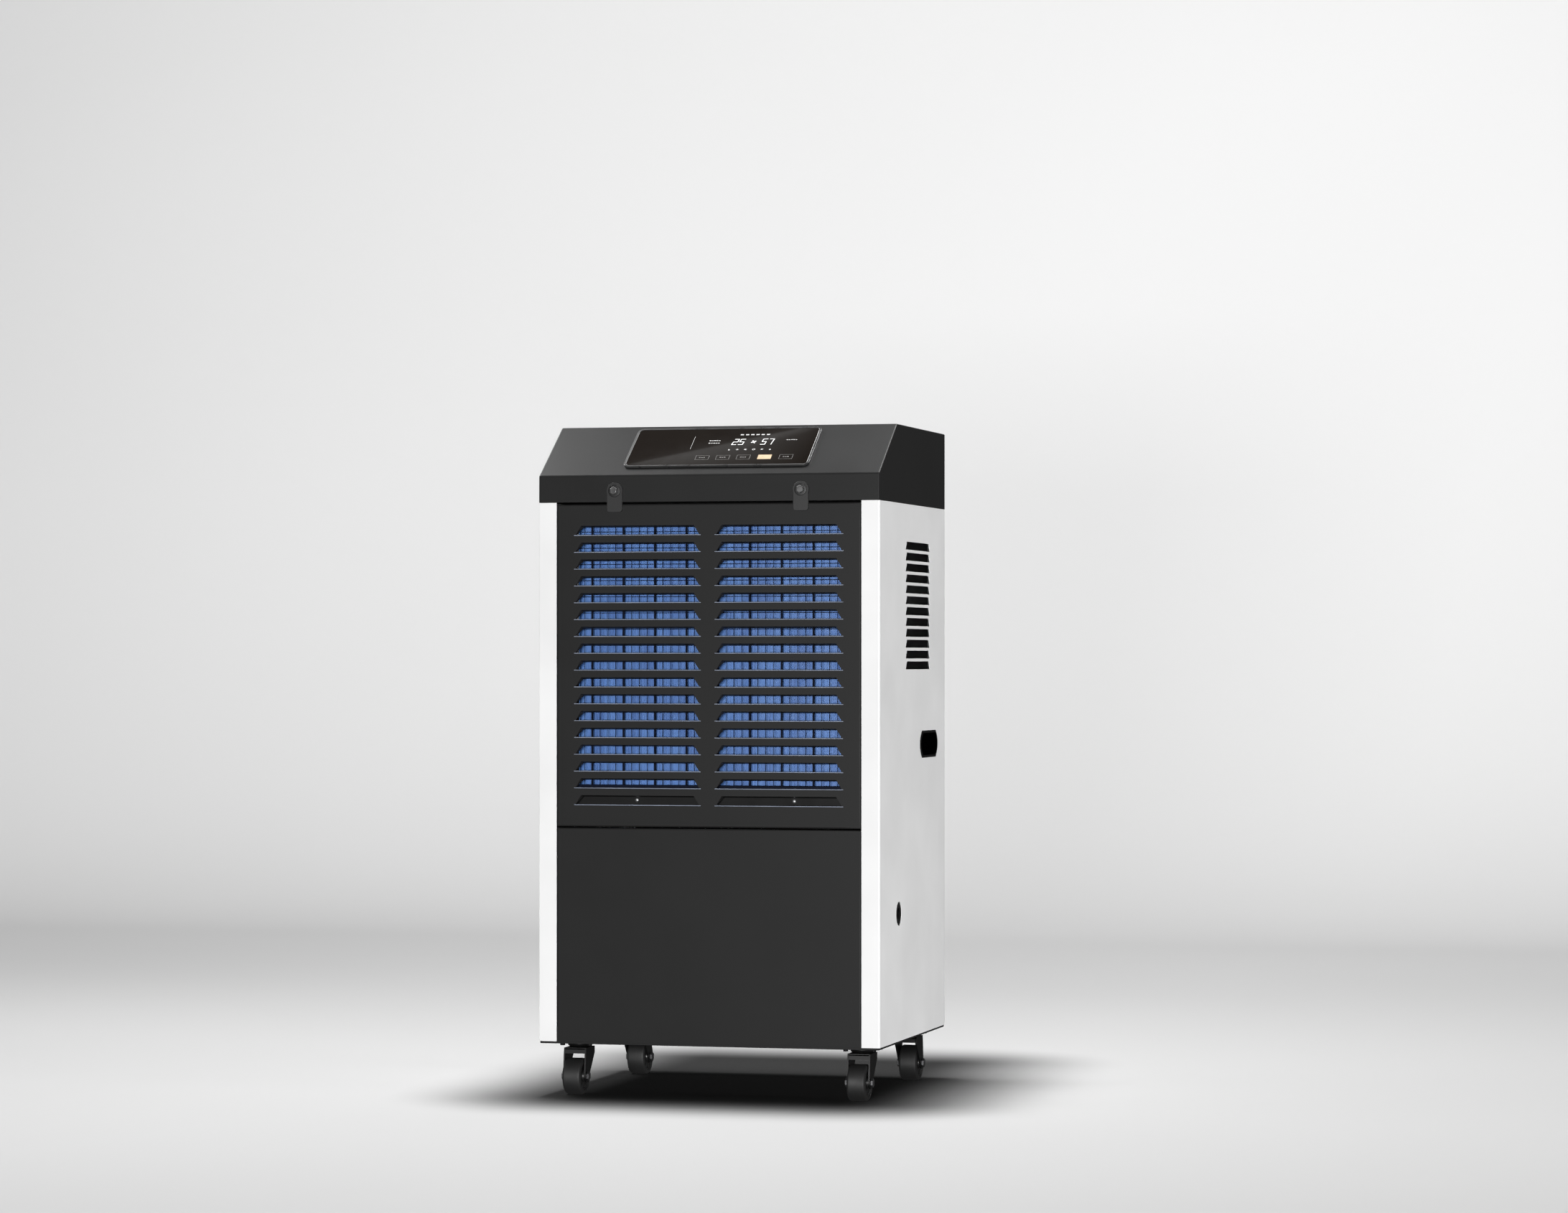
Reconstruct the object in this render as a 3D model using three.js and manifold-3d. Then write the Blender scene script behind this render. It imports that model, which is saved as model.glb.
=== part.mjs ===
// A commercial refrigerant dehumidifier on four swivel casters, in millimetres.
// X runs left to right seen from the front, Y runs from front to back, Z is up.
// The origin is on the floor, under the middle of the cabinet.

import * as THREE from 'three';
import { mergeVertices } from 'three/addons/utils/BufferGeometryUtils.js';
import Module from 'manifold-3d';

const wasm = await Module();
wasm.setup();

// ---------------------------------------------------------------- driving sizes

// Cabinet
const WIDTH = 480;
const DEPTH = 410;
const PANEL_HEIGHT = 738;      // side panels, from their foot to the cover
const SHEET = 1.2;             // sheet steel of panels and cover
const CLEARANCE = 0.3;         // left between pieces that touch
const RETURN_DEPTH = 15;       // folded edges of the front panels
const FRONT_FLANGE = 25.4;     // side panel wrapped round to the front
const REAR_FLANGE = 22;
const TOP_FLANGE = 14;
const LOWER_HEIGHT = 294;      // from the panels' foot to the joint between the front panels
const SEAM_GAP = 1.6;
const INTAKE_TOP_GAP = 2.5;    // under the cover's lip

// Cover
const LIP_HEIGHT = 37;
const SLOPE_RUN = 107;
const SLOPE_RISE = 71;

// Base pan and deck
const PAN_SHEET = 2;
const PAN_DROP = 3;            // pan's floor shows below the panels
const PAN_FLANGE = 22;
const DECK_ABOVE_SEAM = 2;
const DECK_FLANGE = 12;

// Intake louvres
const LOUVRE_PITCH = 23.03;
const LOUVRE_HEIGHT = 12.7;
const LOUVRE_TOP_MARGIN = 29.4;      // top row's upper edge below the panel's top
const LOUVRE_BOTTOM_MARGIN = 29;      // at least this below the lowest row
const LOUVRE_EDGE_MARGIN = 26.8;     // column's outer end from the panel's edge
const LOUVRE_MULLION = 23.6;         // between the columns
const LOUVRE_TAPER = 8;              // each end leans in by this much towards the top
const FLAP_ANGLE = THREE.MathUtils.degToRad(80);

// Right side slots
const SLOT_PITCH = 15.05;
const SLOT_HEIGHT = 10.9;
const SLOT_LENGTH = 153.5;
const SLOT_TAPER = 7.6;
const SLOT_CENTRE_FROM_BACK = 175.3;
const SLOT_TOP_BELOW_PANEL_TOP = 51.9;
const SLOT_ABOVE_HANDLE = 80;  // at least this between the lowest slot and the handle

// Handles and drain
const HANDLE_LENGTH = 110;
const HANDLE_FLAT = 85;        // length of its straight top and bottom edges
const HANDLE_HEIGHT = 38;
const HANDLE_RIM = 5;
const HANDLE_PROUD = 1;
const HANDLE_DEPTH = 30;
const HANDLE_WALL = 2;
const HANDLE_FROM_BACK = 109;
const HANDLE_ABOVE_SEAM = 110.5;
const DRAIN_HOLE_RADIUS = 16.5;
const DRAIN_BORE_RADIUS = 8;
const DRAIN_FROM_FRONT = 116.2;
const DRAIN_ABOVE_PANEL_FOOT = 175;
const DRAIN_SPOUT_LENGTH = 34; // from the panel's face inwards

// Control panel on the slope
const CONTROL_WIDTH = 262;
const CONTROL_HEIGHT = 100;
const CONTROL_X = 6.5;
const CONTROL_UP_SLOPE = 18;   // from the lip's top edge to the bezel's lower edge
const BEZEL_WALL = 3;
const BEZEL_RISE = 3.2;
const GLASS_THICKNESS = 2.4;

// Latches
const LATCH_FROM_SIDE = 109;
const LATCH_ABOVE_LIP_FOOT = 15.4;
const TAB_THICKNESS = 3;
const TAB_HEAD_RADIUS = 11.5;
const TAB_TAIL_WIDTH = 21.5;
const TAB_TAIL_LENGTH = 29;
const LATCH_BOLT_RADIUS = 3;
const LATCH_HEAD_RADIUS = 5.8;
const WASHER_RADIUS = 8.5;
const WASHER_THICKNESS = 1.5;
const HOLE_ALLOWANCE = 0.4;    // bolt hole radius over its bolt

// Coils, filter and tray
const COIL_END_GAP = 50;       // fin block's end to the cabinet's side
const COIL_THICKNESS = 42;
const COIL_TOP_GAP = 14;       // below the panels' top
const COIL_GAP = 10;           // between the two coils
const EVAPORATOR_FRONT = 31;   // behind the cabinet's front face
const END_PLATE = 1.5;
const TUBE_RADIUS = 5;
const STUB_LENGTH = 20;
const BEND_ABOVE_TRAY = 23.5;  // lowest return bend's middle over the tray's rim
const FILTER_BEHIND_FRONT = 18;
const FILTER_THICKNESS = 6;
const FILTER_RIB_PITCH = 44.7;
const FILTER_RIB_SHIFT = 9;    // the ribs' comb is this far right of the middle
const FILTER_RIB = 2.2;
const FILTER_BORDER = 8;
const TRAY_HEIGHT = 46;
const TRAY_WALL = 2;
const TRAY_END = 16;           // tray's end past the fin block
const SPIGOT_FROM_TRAY_END = 56;
const SPIGOT_RADIUS = 9;
const HOSE_RADIUS = 11;

// Fan
const FAN_ABOVE_MIDDLE = 6.4;  // over the middle of the coil chamber
const OUTLET_RADIUS = 150;
const BLADE_TIP_GAP = 6;
const BLADE_COUNT = 5;
const BLADE_PITCH = THREE.MathUtils.degToRad(28);
const BLADE_THICKNESS = 2.2;
const HUB_RADIUS = 46;
const HUB_LENGTH = 36;
const SHAFT_RADIUS = 5;
const MOTOR_RADIUS = 42;
const MOTOR_LENGTH = 36;
const SHROUD_DEPTH = 94;
const SHROUD_FLARE = 20;
const SHROUD_MARGIN = 24;
const GUARD_PROTRUSION = 10;   // as far behind the back as the latch bolts are before the front
const GUARD_WIRE = 1.7;
const GUARD_RINGS = 4;
const GUARD_RIM_OVERLAP = 9;   // rim's middle outside the outlet
const MOTOR_PROTRUSION = 3;    // motor's end behind the cabinet's back
const HUB_FROM_BACK = 58;

// Compressor
const COMPRESSOR_FROM_RIGHT = 195;
const COMPRESSOR_FROM_BACK = 175;
const COMPRESSOR_RADIUS = 58;
const COMPRESSOR_HEIGHT = 236;
const FOOT_HEIGHT = 16;
const FOOT_RADIUS = 12;
const FOOT_CIRCLE = 84;
const FOOT_PLATE = 3;
const ACCUMULATOR_RADIUS = 26;
const ACCUMULATOR_GAP = 12;

// Casters
const CASTER_FROM_SIDE = 39;
const CASTER_FROM_END = 67;
const CASTER_TRAIL = 20;
const WHEEL_RADIUS = 25;
const WHEEL_WIDTH = 26;
const WHEEL_SIDES = 24;
const AXLE_RADIUS = 4;
const FORK_SHEET = 2;
const FORK_SIDE_GAP = 1;
const FORK_CROWN_GAP = 11.5;   // wheel's top to the crown
const CASTER_PLATE = 2.5;
const CASTER_PLATE_SIZE = 50;
const CROWN_THICKNESS = 2.5;
const RACE_HEIGHT = 6.2;       // from the crown to the top plate
const KINGPIN_RADIUS = 5;

// ---------------------------------------------------------------- derived places

const SIDE = WIDTH / 2;
const FRONT = -DEPTH / 2;
const BACK = DEPTH / 2;
const CROWN_BOTTOM = 2 * WHEEL_RADIUS + FORK_CROWN_GAP;
const CROWN_TOP = CROWN_BOTTOM + CROWN_THICKNESS;
const CASTER_TOP = CROWN_TOP + RACE_HEIGHT + CASTER_PLATE;
const PAN_Z = CASTER_TOP + CLEARANCE;
const PAN_TOP = PAN_Z + PAN_FLANGE;
const PANEL_BOTTOM = PAN_Z + PAN_DROP;
const PANEL_TOP = PANEL_BOTTOM + PANEL_HEIGHT;
const SEAM_Z = PANEL_BOTTOM + LOWER_HEIGHT;
const LIP_TOP = PANEL_TOP + LIP_HEIGHT;
const TOP = LIP_TOP + SLOPE_RISE;
const SLOPE_ANGLE = Math.atan2(SLOPE_RISE, SLOPE_RUN);
const FRONT_PANEL_HALF = SIDE - FRONT_FLANGE - CLEARANCE;
const REAR_PANEL_HALF = SIDE - REAR_FLANGE - CLEARANCE;
const INTAKE_TOP = PANEL_TOP - INTAKE_TOP_GAP;
const INTAKE_BOTTOM = SEAM_Z + SEAM_GAP / 2;
const DECK_Z = SEAM_Z + DECK_ABOVE_SEAM;
const DECK_TOP = DECK_Z + SHEET;
const TRAY_BOTTOM = DECK_TOP + CLEARANCE;
const TRAY_TOP = TRAY_BOTTOM + TRAY_HEIGHT;
const TRAY_HALF = SIDE - COIL_END_GAP + TRAY_END;
const TRAY_FRONT = FRONT + FILTER_BEHIND_FRONT - 1;
const EVAPORATOR_Y = FRONT + EVAPORATOR_FRONT + COIL_THICKNESS / 2;
const CONDENSER_Y = EVAPORATOR_Y + COIL_THICKNESS + COIL_GAP;
const TRAY_BACK = CONDENSER_Y + COIL_THICKNESS / 2 + 8;
const COIL_HALF = SIDE - COIL_END_GAP;
const COIL_BOTTOM = TRAY_BOTTOM + TRAY_WALL + 8;
const COIL_TOP = PANEL_TOP - COIL_TOP_GAP;
const STUB_X = COIL_HALF + END_PLATE + STUB_LENGTH;
const RISER_X = STUB_X + 11;
const STUB_Z = TRAY_TOP + 14;
const SPIGOT_X = TRAY_HALF - SPIGOT_FROM_TRAY_END;
const SPIGOT_Y = (TRAY_FRONT + TRAY_BACK) / 2;
const SPIGOT_BOTTOM = DECK_Z - 24;
const HANDLE_Y = BACK - HANDLE_FROM_BACK;
const HANDLE_Z = SEAM_Z + HANDLE_ABOVE_SEAM;
const SLOT_CENTRE_Y = BACK - SLOT_CENTRE_FROM_BACK;
const DRAIN_Y = FRONT + DRAIN_FROM_FRONT;
const DRAIN_Z = PANEL_BOTTOM + DRAIN_ABOVE_PANEL_FOOT;
const DRAIN_INNER_END = SIDE - DRAIN_SPOUT_LENGTH;
const LATCH_X = SIDE - LATCH_FROM_SIDE;
const LATCH_Z = PANEL_TOP + LATCH_ABOVE_LIP_FOOT;
const FAN_Z = (DECK_TOP + PANEL_TOP) / 2 + FAN_ABOVE_MIDDLE;
const HUB_MIDDLE = BACK - HUB_FROM_BACK;
const MOTOR_BACK = BACK + MOTOR_PROTRUSION;
const GUARD_BACK = BACK + GUARD_PROTRUSION;
const COMPRESSOR_X = SIDE - COMPRESSOR_FROM_RIGHT;
const COMPRESSOR_Y = BACK - COMPRESSOR_FROM_BACK;
const COMPRESSOR_FOOT_TOP = PAN_Z + PAN_SHEET + FOOT_HEIGHT + 2 * CLEARANCE;
const COMPRESSOR_BOTTOM = COMPRESSOR_FOOT_TOP + FOOT_PLATE;
const COMPRESSOR_TOP = COMPRESSOR_BOTTOM + COMPRESSOR_HEIGHT;
const ACCUMULATOR_X = COMPRESSOR_X + COMPRESSOR_RADIUS + ACCUMULATOR_GAP + ACCUMULATOR_RADIUS;
const ACCUMULATOR_BOTTOM = COMPRESSOR_BOTTOM + 46;
const ACCUMULATOR_TOP = ACCUMULATOR_BOTTOM + 140;
const CASTER_X = SIDE - CASTER_FROM_SIDE;
const CASTER_Y = BACK - CASTER_FROM_END;

// ---------------------------------------------------------------- solids

const X_AXIS = new THREE.Vector3(1, 0, 0);
const Y_AXIS = new THREE.Vector3(0, 1, 0);
const Z_AXIS = new THREE.Vector3(0, 0, 1);

/** A closed geometry as a solid that can be joined and cut, facing outwards. */
function solidOf(geometry) {
  const bare = geometry.clone();
  bare.deleteAttribute('normal');
  bare.deleteAttribute('uv');
  const merged = mergeVertices(bare, 1e-4);
  const points = merged.getAttribute('position');
  const index = merged.getIndex().array;
  const triangles = [];
  const corners = [new THREE.Vector3(), new THREE.Vector3(), new THREE.Vector3()];
  let volume = 0;
  for (let i = 0; i < index.length; i += 3) {
    const [a, b, c] = [index[i], index[i + 1], index[i + 2]];
    if (a === b || b === c || c === a) continue;
    corners.forEach((corner, k) => corner.fromBufferAttribute(points, index[i + k]));
    volume += corners[0].dot(corners[1].clone().cross(corners[2]));
    triangles.push([a, b, c]);
  }
  const outward = triangles.map(([a, b, c]) => (volume < 0 ? [a, c, b] : [a, b, c]));
  return new wasm.Manifold(new wasm.Mesh({
    numProp: 3,
    vertProperties: new Float32Array(points.array),
    triVerts: new Uint32Array(outward.flat()),
  }));
}

/** The solids joined into one. */
function join(first, ...others) {
  return others.reduce((whole, next) => whole.add(next), first);
}

/** The first solid with all the others cut away. */
function cut(first, ...others) {
  return others.reduce((whole, next) => whole.subtract(next), first);
}

/** A box between two corners. */
function box(x0, x1, y0, y1, z0, z1) {
  const geometry = new THREE.BoxGeometry(x1 - x0, y1 - y0, z1 - z0);
  geometry.translate((x0 + x1) / 2, (y0 + y1) / 2, (z0 + z1) / 2);
  return solidOf(geometry);
}

/** A round bar along an axis, from one place on it to another, moved sideways to a centre. */
function bar(axis, radius, from, to, centre = new THREE.Vector3(), sides = 24) {
  const geometry = new THREE.CylinderGeometry(radius, radius, to - from, sides);
  geometry.translate(0, (from + to) / 2, 0);
  geometry.applyQuaternion(new THREE.Quaternion().setFromUnitVectors(Y_AXIS, axis));
  geometry.translate(centre.x, centre.y, centre.z);
  return solidOf(geometry);
}

/** An outline of [radius, height] points turned once round an axis. */
function turned(outline, axis, sides = 24) {
  const points = outline.map(([r, h]) => new THREE.Vector2(r, h));
  const geometry = new THREE.LatheGeometry(points, sides);
  geometry.applyQuaternion(new THREE.Quaternion().setFromUnitVectors(Y_AXIS, axis));
  return solidOf(geometry);
}

/** A flat outline given thickness: drawn in Y and Z and thickened along X. */
function plateAlongX(shape, x0, x1, curveSegments = 3) {
  const geometry = new THREE.ExtrudeGeometry(shape, { depth: x1 - x0, bevelEnabled: false, curveSegments });
  geometry.applyMatrix4(new THREE.Matrix4().makeBasis(Y_AXIS, Z_AXIS, X_AXIS));
  geometry.translate(x0, 0, 0);
  return solidOf(geometry);
}

/** The same, drawn in X and Z and thickened along Y. */
function plateAlongY(shape, y0, y1, curveSegments = 3) {
  const geometry = new THREE.ExtrudeGeometry(shape, { depth: y1 - y0, bevelEnabled: false, curveSegments });
  geometry.applyMatrix4(new THREE.Matrix4().makeBasis(X_AXIS, Z_AXIS, new THREE.Vector3(0, -1, 0)));
  geometry.translate(0, y1, 0);
  return solidOf(geometry);
}

/** The same, drawn in X and Y and thickened along Z. */
function plateAlongZ(shape, z0, z1, curveSegments = 3) {
  const geometry = new THREE.ExtrudeGeometry(shape, { depth: z1 - z0, bevelEnabled: false, curveSegments });
  geometry.translate(0, 0, z0);
  return solidOf(geometry);
}

/** A round tube or rod along a smooth curve through the points. */
function tubeAlong(points, radius, steps = 20, sides = 8) {
  const path = new THREE.CatmullRomCurve3(points.map(([x, y, z]) => new THREE.Vector3(x, y, z)));
  const section = new THREE.Shape();
  section.absarc(0, 0, radius, 0, 2 * Math.PI, false);
  // An arc's curve segments count half turns, so a full circle takes half as many as its sides.
  const settings = { extrudePath: path, steps, curveSegments: sides / 2 };
  return solidOf(new THREE.ExtrudeGeometry(section, settings));
}

function polygon(corners) {
  return new THREE.Shape(corners.map(([u, v]) => new THREE.Vector2(u, v)));
}

/** A rectangle with round corners, about its own centre. */
function roundedRectangle(width, height, radius) {
  const shape = new THREE.Shape();
  const u = width / 2 - radius;
  const v = height / 2 - radius;
  shape.absarc(u, -v, radius, -Math.PI / 2, 0, false);
  shape.absarc(u, v, radius, 0, Math.PI / 2, false);
  shape.absarc(-u, v, radius, Math.PI / 2, Math.PI, false);
  shape.absarc(-u, -v, radius, Math.PI, 1.5 * Math.PI, false);
  return shape;
}

/** A trapezium standing on its longer edge. */
function trapezium(left, right, bottom, height, taper) {
  const top = bottom + height;
  return polygon([[left, bottom], [right, bottom], [right - taper, top], [left + taper, top]]);
}

/** A solid of the same outline on the other side of the X = 0 plane. */
function mirrored(solid) {
  return solid.mirror([1, 0, 0]);
}

// ---------------------------------------------------------------- finishes and the tree

const FINISHES = {
  white_steel: { color: 0xe9e9e9, roughness: 0.45, metalness: 0 },
  charcoal_steel: { color: 0x323232, roughness: 0.5, metalness: 0 },
  zinc_steel: { color: 0xa8adb0, roughness: 0.4, metalness: 0.9 },
  bright_steel: { color: 0x55575a, roughness: 0.35, metalness: 0.9 },
  black_plastic: { color: 0x161616, roughness: 0.5, metalness: 0 },
  black_glass: { color: 0x0b0a09, roughness: 0.08, metalness: 0 },
  blue_fins: { color: 0x4a74c4, roughness: 0.35, metalness: 0.6 },
  aluminium_fins: { color: 0xb5bbc0, roughness: 0.35, metalness: 0.8 },
  copper: { color: 0xb06a45, roughness: 0.3, metalness: 1 },
  black_enamel: { color: 0x101010, roughness: 0.3, metalness: 0 },
  black_rubber: { color: 0x1a1a1a, roughness: 0.8, metalness: 0 },
  clear_hose: { color: 0xc9ccc6, roughness: 0.4, metalness: 0 },
  circuit_board: { color: 0x1f5a35, roughness: 0.5, metalness: 0 },
};

const dehumidifier = new THREE.Group();

/** Adds a solid to a group as a named mesh with a finish of its own. */
function addPiece(name, solid, finish, group = dehumidifier) {
  const { vertProperties, triVerts } = solid.getMesh();
  const geometry = new THREE.BufferGeometry();
  geometry.setAttribute('position', new THREE.BufferAttribute(vertProperties, 3));
  geometry.setIndex(new THREE.BufferAttribute(triVerts, 1));
  geometry.computeVertexNormals();
  const mesh = new THREE.Mesh(geometry, new THREE.MeshStandardMaterial(FINISHES[finish]));
  mesh.name = name;
  group.add(mesh);
  return mesh;
}

function groupAt(x, y, z) {
  const group = new THREE.Group();
  group.position.set(x, y, z);
  dehumidifier.add(group);
  return group;
}

// ---------------------------------------------------------------- base pan and deck

function addBasePan() {
  const half = SIDE - SHEET - CLEARANCE;
  const front = FRONT + SHEET + CLEARANCE;
  const outside = box(-half, half, front, -front, PAN_Z, PAN_TOP);
  const inside = box(-half + PAN_SHEET, half - PAN_SHEET, front + PAN_SHEET, -front - PAN_SHEET,
    PAN_Z + PAN_SHEET, PAN_TOP + 1);
  addPiece('base_pan', cut(outside, inside), 'charcoal_steel');
}

function addMidDeck() {
  const half = SIDE - SHEET - CLEARANCE;
  const front = FRONT + RETURN_DEPTH + 1;
  const outside = box(-half, half, front, -front, DECK_Z - DECK_FLANGE, DECK_TOP);
  const inside = box(-half + SHEET, half - SHEET, front - 1, -front + 1, DECK_Z - DECK_FLANGE - 1, DECK_Z);
  const spigotHole = bar(Z_AXIS, SPIGOT_RADIUS + 1.5, DECK_Z - 1, DECK_TOP + 1,
    new THREE.Vector3(SPIGOT_X, SPIGOT_Y, 0));
  const pipeRoom = TUBE_RADIUS + 3;
  const pipeHole = box(RISER_X - pipeRoom, RISER_X + pipeRoom, EVAPORATOR_Y - 14, CONDENSER_Y + 14,
    DECK_Z - 1, DECK_TOP + 1);
  addPiece('mid_deck', cut(outside, inside, spigotHole, pipeHole), 'zinc_steel');
}

// ---------------------------------------------------------------- side panels and handles

/** The handle's outline: straight top and bottom, bulging ends, shrunk all round by inset. */
function handleOutline(inset) {
  const length = HANDLE_LENGTH / 2 - inset;
  const flat = HANDLE_FLAT / 2 - inset;
  const half = HANDLE_HEIGHT / 2 - inset;
  const shape = new THREE.Shape();
  shape.moveTo(-flat, -half);
  shape.lineTo(flat, -half);
  shape.quadraticCurveTo(2 * length - flat, 0, flat, half);
  shape.lineTo(-flat, half);
  shape.quadraticCurveTo(-2 * length + flat, 0, -flat, -half);
  return shape;
}

/** A side panel as it stands on the right: a web with front, rear and top flanges. */
function sidePanel() {
  const frontEdge = SIDE - FRONT_FLANGE;
  const rearEdge = SIDE - REAR_FLANGE;
  const section = polygon([[frontEdge, FRONT], [SIDE, FRONT], [SIDE, BACK], [rearEdge, BACK],
    [rearEdge, BACK - SHEET], [SIDE - SHEET, BACK - SHEET], [SIDE - SHEET, FRONT + SHEET],
    [frontEdge, FRONT + SHEET]]);
  const folded = plateAlongZ(section, PANEL_BOTTOM, PANEL_TOP);
  const topFlange = box(SIDE - TOP_FLANGE, SIDE - SHEET / 2, FRONT + SHEET / 2, BACK - SHEET / 2,
    PANEL_TOP - SHEET, PANEL_TOP);
  const handleHole = plateAlongX(handleOutline(HANDLE_RIM - 1.3), SIDE - 5, SIDE + 5, 4)
    .translate([0, HANDLE_Y, HANDLE_Z]);
  return cut(join(folded, topFlange), handleHole);
}

function addSidePanels() {
  addPiece('left_side_panel', mirrored(sidePanel()), 'white_steel');
  const slots = [];
  const highest = PANEL_TOP - SLOT_TOP_BELOW_PANEL_TOP - SLOT_HEIGHT;
  const room = highest - (HANDLE_Z + HANDLE_HEIGHT / 2 + SLOT_ABOVE_HANDLE);
  const slotCount = 1 + Math.floor(room / SLOT_PITCH);
  for (let i = 0; i < slotCount; i += 1) {
    const outline = trapezium(SLOT_CENTRE_Y - SLOT_LENGTH / 2, SLOT_CENTRE_Y + SLOT_LENGTH / 2,
      highest - i * SLOT_PITCH, SLOT_HEIGHT, SLOT_TAPER);
    slots.push(plateAlongX(outline, SIDE - 5, SIDE + 5));
  }
  const drainHole = bar(X_AXIS, DRAIN_HOLE_RADIUS, SIDE - 5, SIDE + 5,
    new THREE.Vector3(0, DRAIN_Y, DRAIN_Z), 32);
  addPiece('right_side_panel', cut(sidePanel(), ...slots, drainHole), 'white_steel');
}

function addHandleCups() {
  const proud = SIDE + CLEARANCE + HANDLE_PROUD;
  const rim = plateAlongX(handleOutline(0), SIDE + CLEARANCE, proud, 4);
  const body = plateAlongX(handleOutline(HANDLE_RIM - 1), SIDE - HANDLE_DEPTH, proud, 4);
  const floor = SIDE - HANDLE_DEPTH + HANDLE_WALL;
  const pocket = plateAlongX(handleOutline(HANDLE_RIM - 1 + HANDLE_WALL), floor, SIDE + 5, 4);
  const cup = cut(join(rim, body), pocket).translate([0, HANDLE_Y, HANDLE_Z]);
  addPiece('right_handle_cup', cup, 'black_plastic');
  addPiece('left_handle_cup', mirrored(cup), 'black_plastic');
}

// ---------------------------------------------------------------- front panels

function addIntakePanel() {
  const half = FRONT_PANEL_HALF;
  const outside = box(-half, half, FRONT, FRONT + RETURN_DEPTH, INTAKE_BOTTOM, INTAKE_TOP);
  const inside = box(-half + SHEET, half - SHEET, FRONT + SHEET, FRONT + RETURN_DEPTH + 1,
    INTAKE_BOTTOM + SHEET, INTAKE_TOP - SHEET);
  const room = INTAKE_TOP - INTAKE_BOTTOM - LOUVRE_TOP_MARGIN - LOUVRE_BOTTOM_MARGIN - LOUVRE_HEIGHT;
  const rows = 1 + Math.floor(room / LOUVRE_PITCH);
  const outerEnd = half - LOUVRE_EDGE_MARGIN;
  const columns = [[-outerEnd, -LOUVRE_MULLION / 2], [LOUVRE_MULLION / 2, outerEnd]];
  const holes = [];
  const flaps = [];
  for (const [left, right] of columns) {
    for (let row = 0; row < rows; row += 1) {
      const top = INTAKE_TOP - LOUVRE_TOP_MARGIN - row * LOUVRE_PITCH;
      const hole = trapezium(left, right, top - LOUVRE_HEIGHT, LOUVRE_HEIGHT, LOUVRE_TAPER);
      holes.push(plateAlongY(hole, FRONT - 1, FRONT + SHEET + 0.01));
      // The flap is the cut metal bent in about its narrow upper edge.
      const inwards = LOUVRE_HEIGHT * Math.sin(FLAP_ANGLE);
      const down = LOUVRE_HEIGHT * Math.cos(FLAP_ANGLE);
      const flap = polygon([[FRONT + SHEET / 2, top], [FRONT + inwards, top - down],
        [FRONT + inwards, top - down + SHEET], [FRONT + SHEET / 2, top + SHEET]]);
      flaps.push(plateAlongX(flap, left + LOUVRE_TAPER, right - LOUVRE_TAPER));
    }
  }
  addPiece('front_intake_panel', join(cut(outside, inside, ...holes), ...flaps), 'charcoal_steel');
}

/** A panel's two upright folded edges, kept above the base pan's flange. */
function uprightReturns(half, y0, y1, top) {
  const bottom = PAN_TOP + 2;
  return [box(-half, -half + SHEET, y0, y1, bottom, top), box(half - SHEET, half, y0, y1, bottom, top)];
}

function addLowerPanel() {
  const half = FRONT_PANEL_HALF;
  const top = SEAM_Z - SEAM_GAP / 2;
  const face = box(-half, half, FRONT, FRONT + SHEET, PANEL_BOTTOM, top);
  const topReturn = box(-half, half, FRONT, FRONT + RETURN_DEPTH, top - SHEET, top);
  const sides = uprightReturns(half, FRONT, FRONT + RETURN_DEPTH, top);
  addPiece('front_lower_panel', join(face, topReturn, ...sides), 'charcoal_steel');
}

// ---------------------------------------------------------------- rear panel

const GLAND = { x: -SIDE + 90, z: PANEL_BOTTOM + 54, radius: 8 };
const REAR_VENT_COUNT = 6;
const REAR_VENT_ABOVE_FOOT = 100;

function addRearPanel() {
  const half = REAR_PANEL_HALF;
  const top = PANEL_TOP - CLEARANCE;
  const face = box(-half, half, BACK - SHEET, BACK, PANEL_BOTTOM, top);
  const sides = uprightReturns(half, BACK - RETURN_DEPTH + 2, BACK, top);
  const fanCentre = new THREE.Vector3(0, 0, FAN_Z);
  const outlet = bar(Y_AXIS, OUTLET_RADIUS, BACK - 5, BACK + 5, fanCentre, 36);
  const glandCentre = new THREE.Vector3(GLAND.x, 0, GLAND.z);
  const glandHole = bar(Y_AXIS, GLAND.radius + CLEARANCE, BACK - 5, BACK + 5, glandCentre);
  const vents = [];
  const ventHalf = half * 0.55;
  for (let i = 0; i < REAR_VENT_COUNT; i += 1) {
    const z = PANEL_BOTTOM + REAR_VENT_ABOVE_FOOT + i * SLOT_PITCH;
    vents.push(box(-ventHalf, ventHalf, BACK - 5, BACK + 5, z, z + SLOT_HEIGHT / 2));
  }
  addPiece('rear_panel', cut(join(face, ...sides), outlet, glandHole, ...vents), 'white_steel');
}

function addCordGland() {
  const outline = [[4, -14], [GLAND.radius, -14], [GLAND.radius, CLEARANCE], [13, CLEARANCE], [13, 4],
    [9, 9], [4, 9], [4, -14]];
  const gland = turned(outline, Y_AXIS, 16);
  addPiece('cord_gland', gland, 'black_plastic').position.set(GLAND.x, BACK, GLAND.z);
}

// ---------------------------------------------------------------- cover, controls and latches

/** Height of the cover's slope above a place on it, less a plumb thickness. */
function slopeHeight(y, thickness) {
  return LIP_TOP + (y - FRONT) * Math.tan(SLOPE_ANGLE) - thickness / Math.cos(SLOPE_ANGLE);
}

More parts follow.
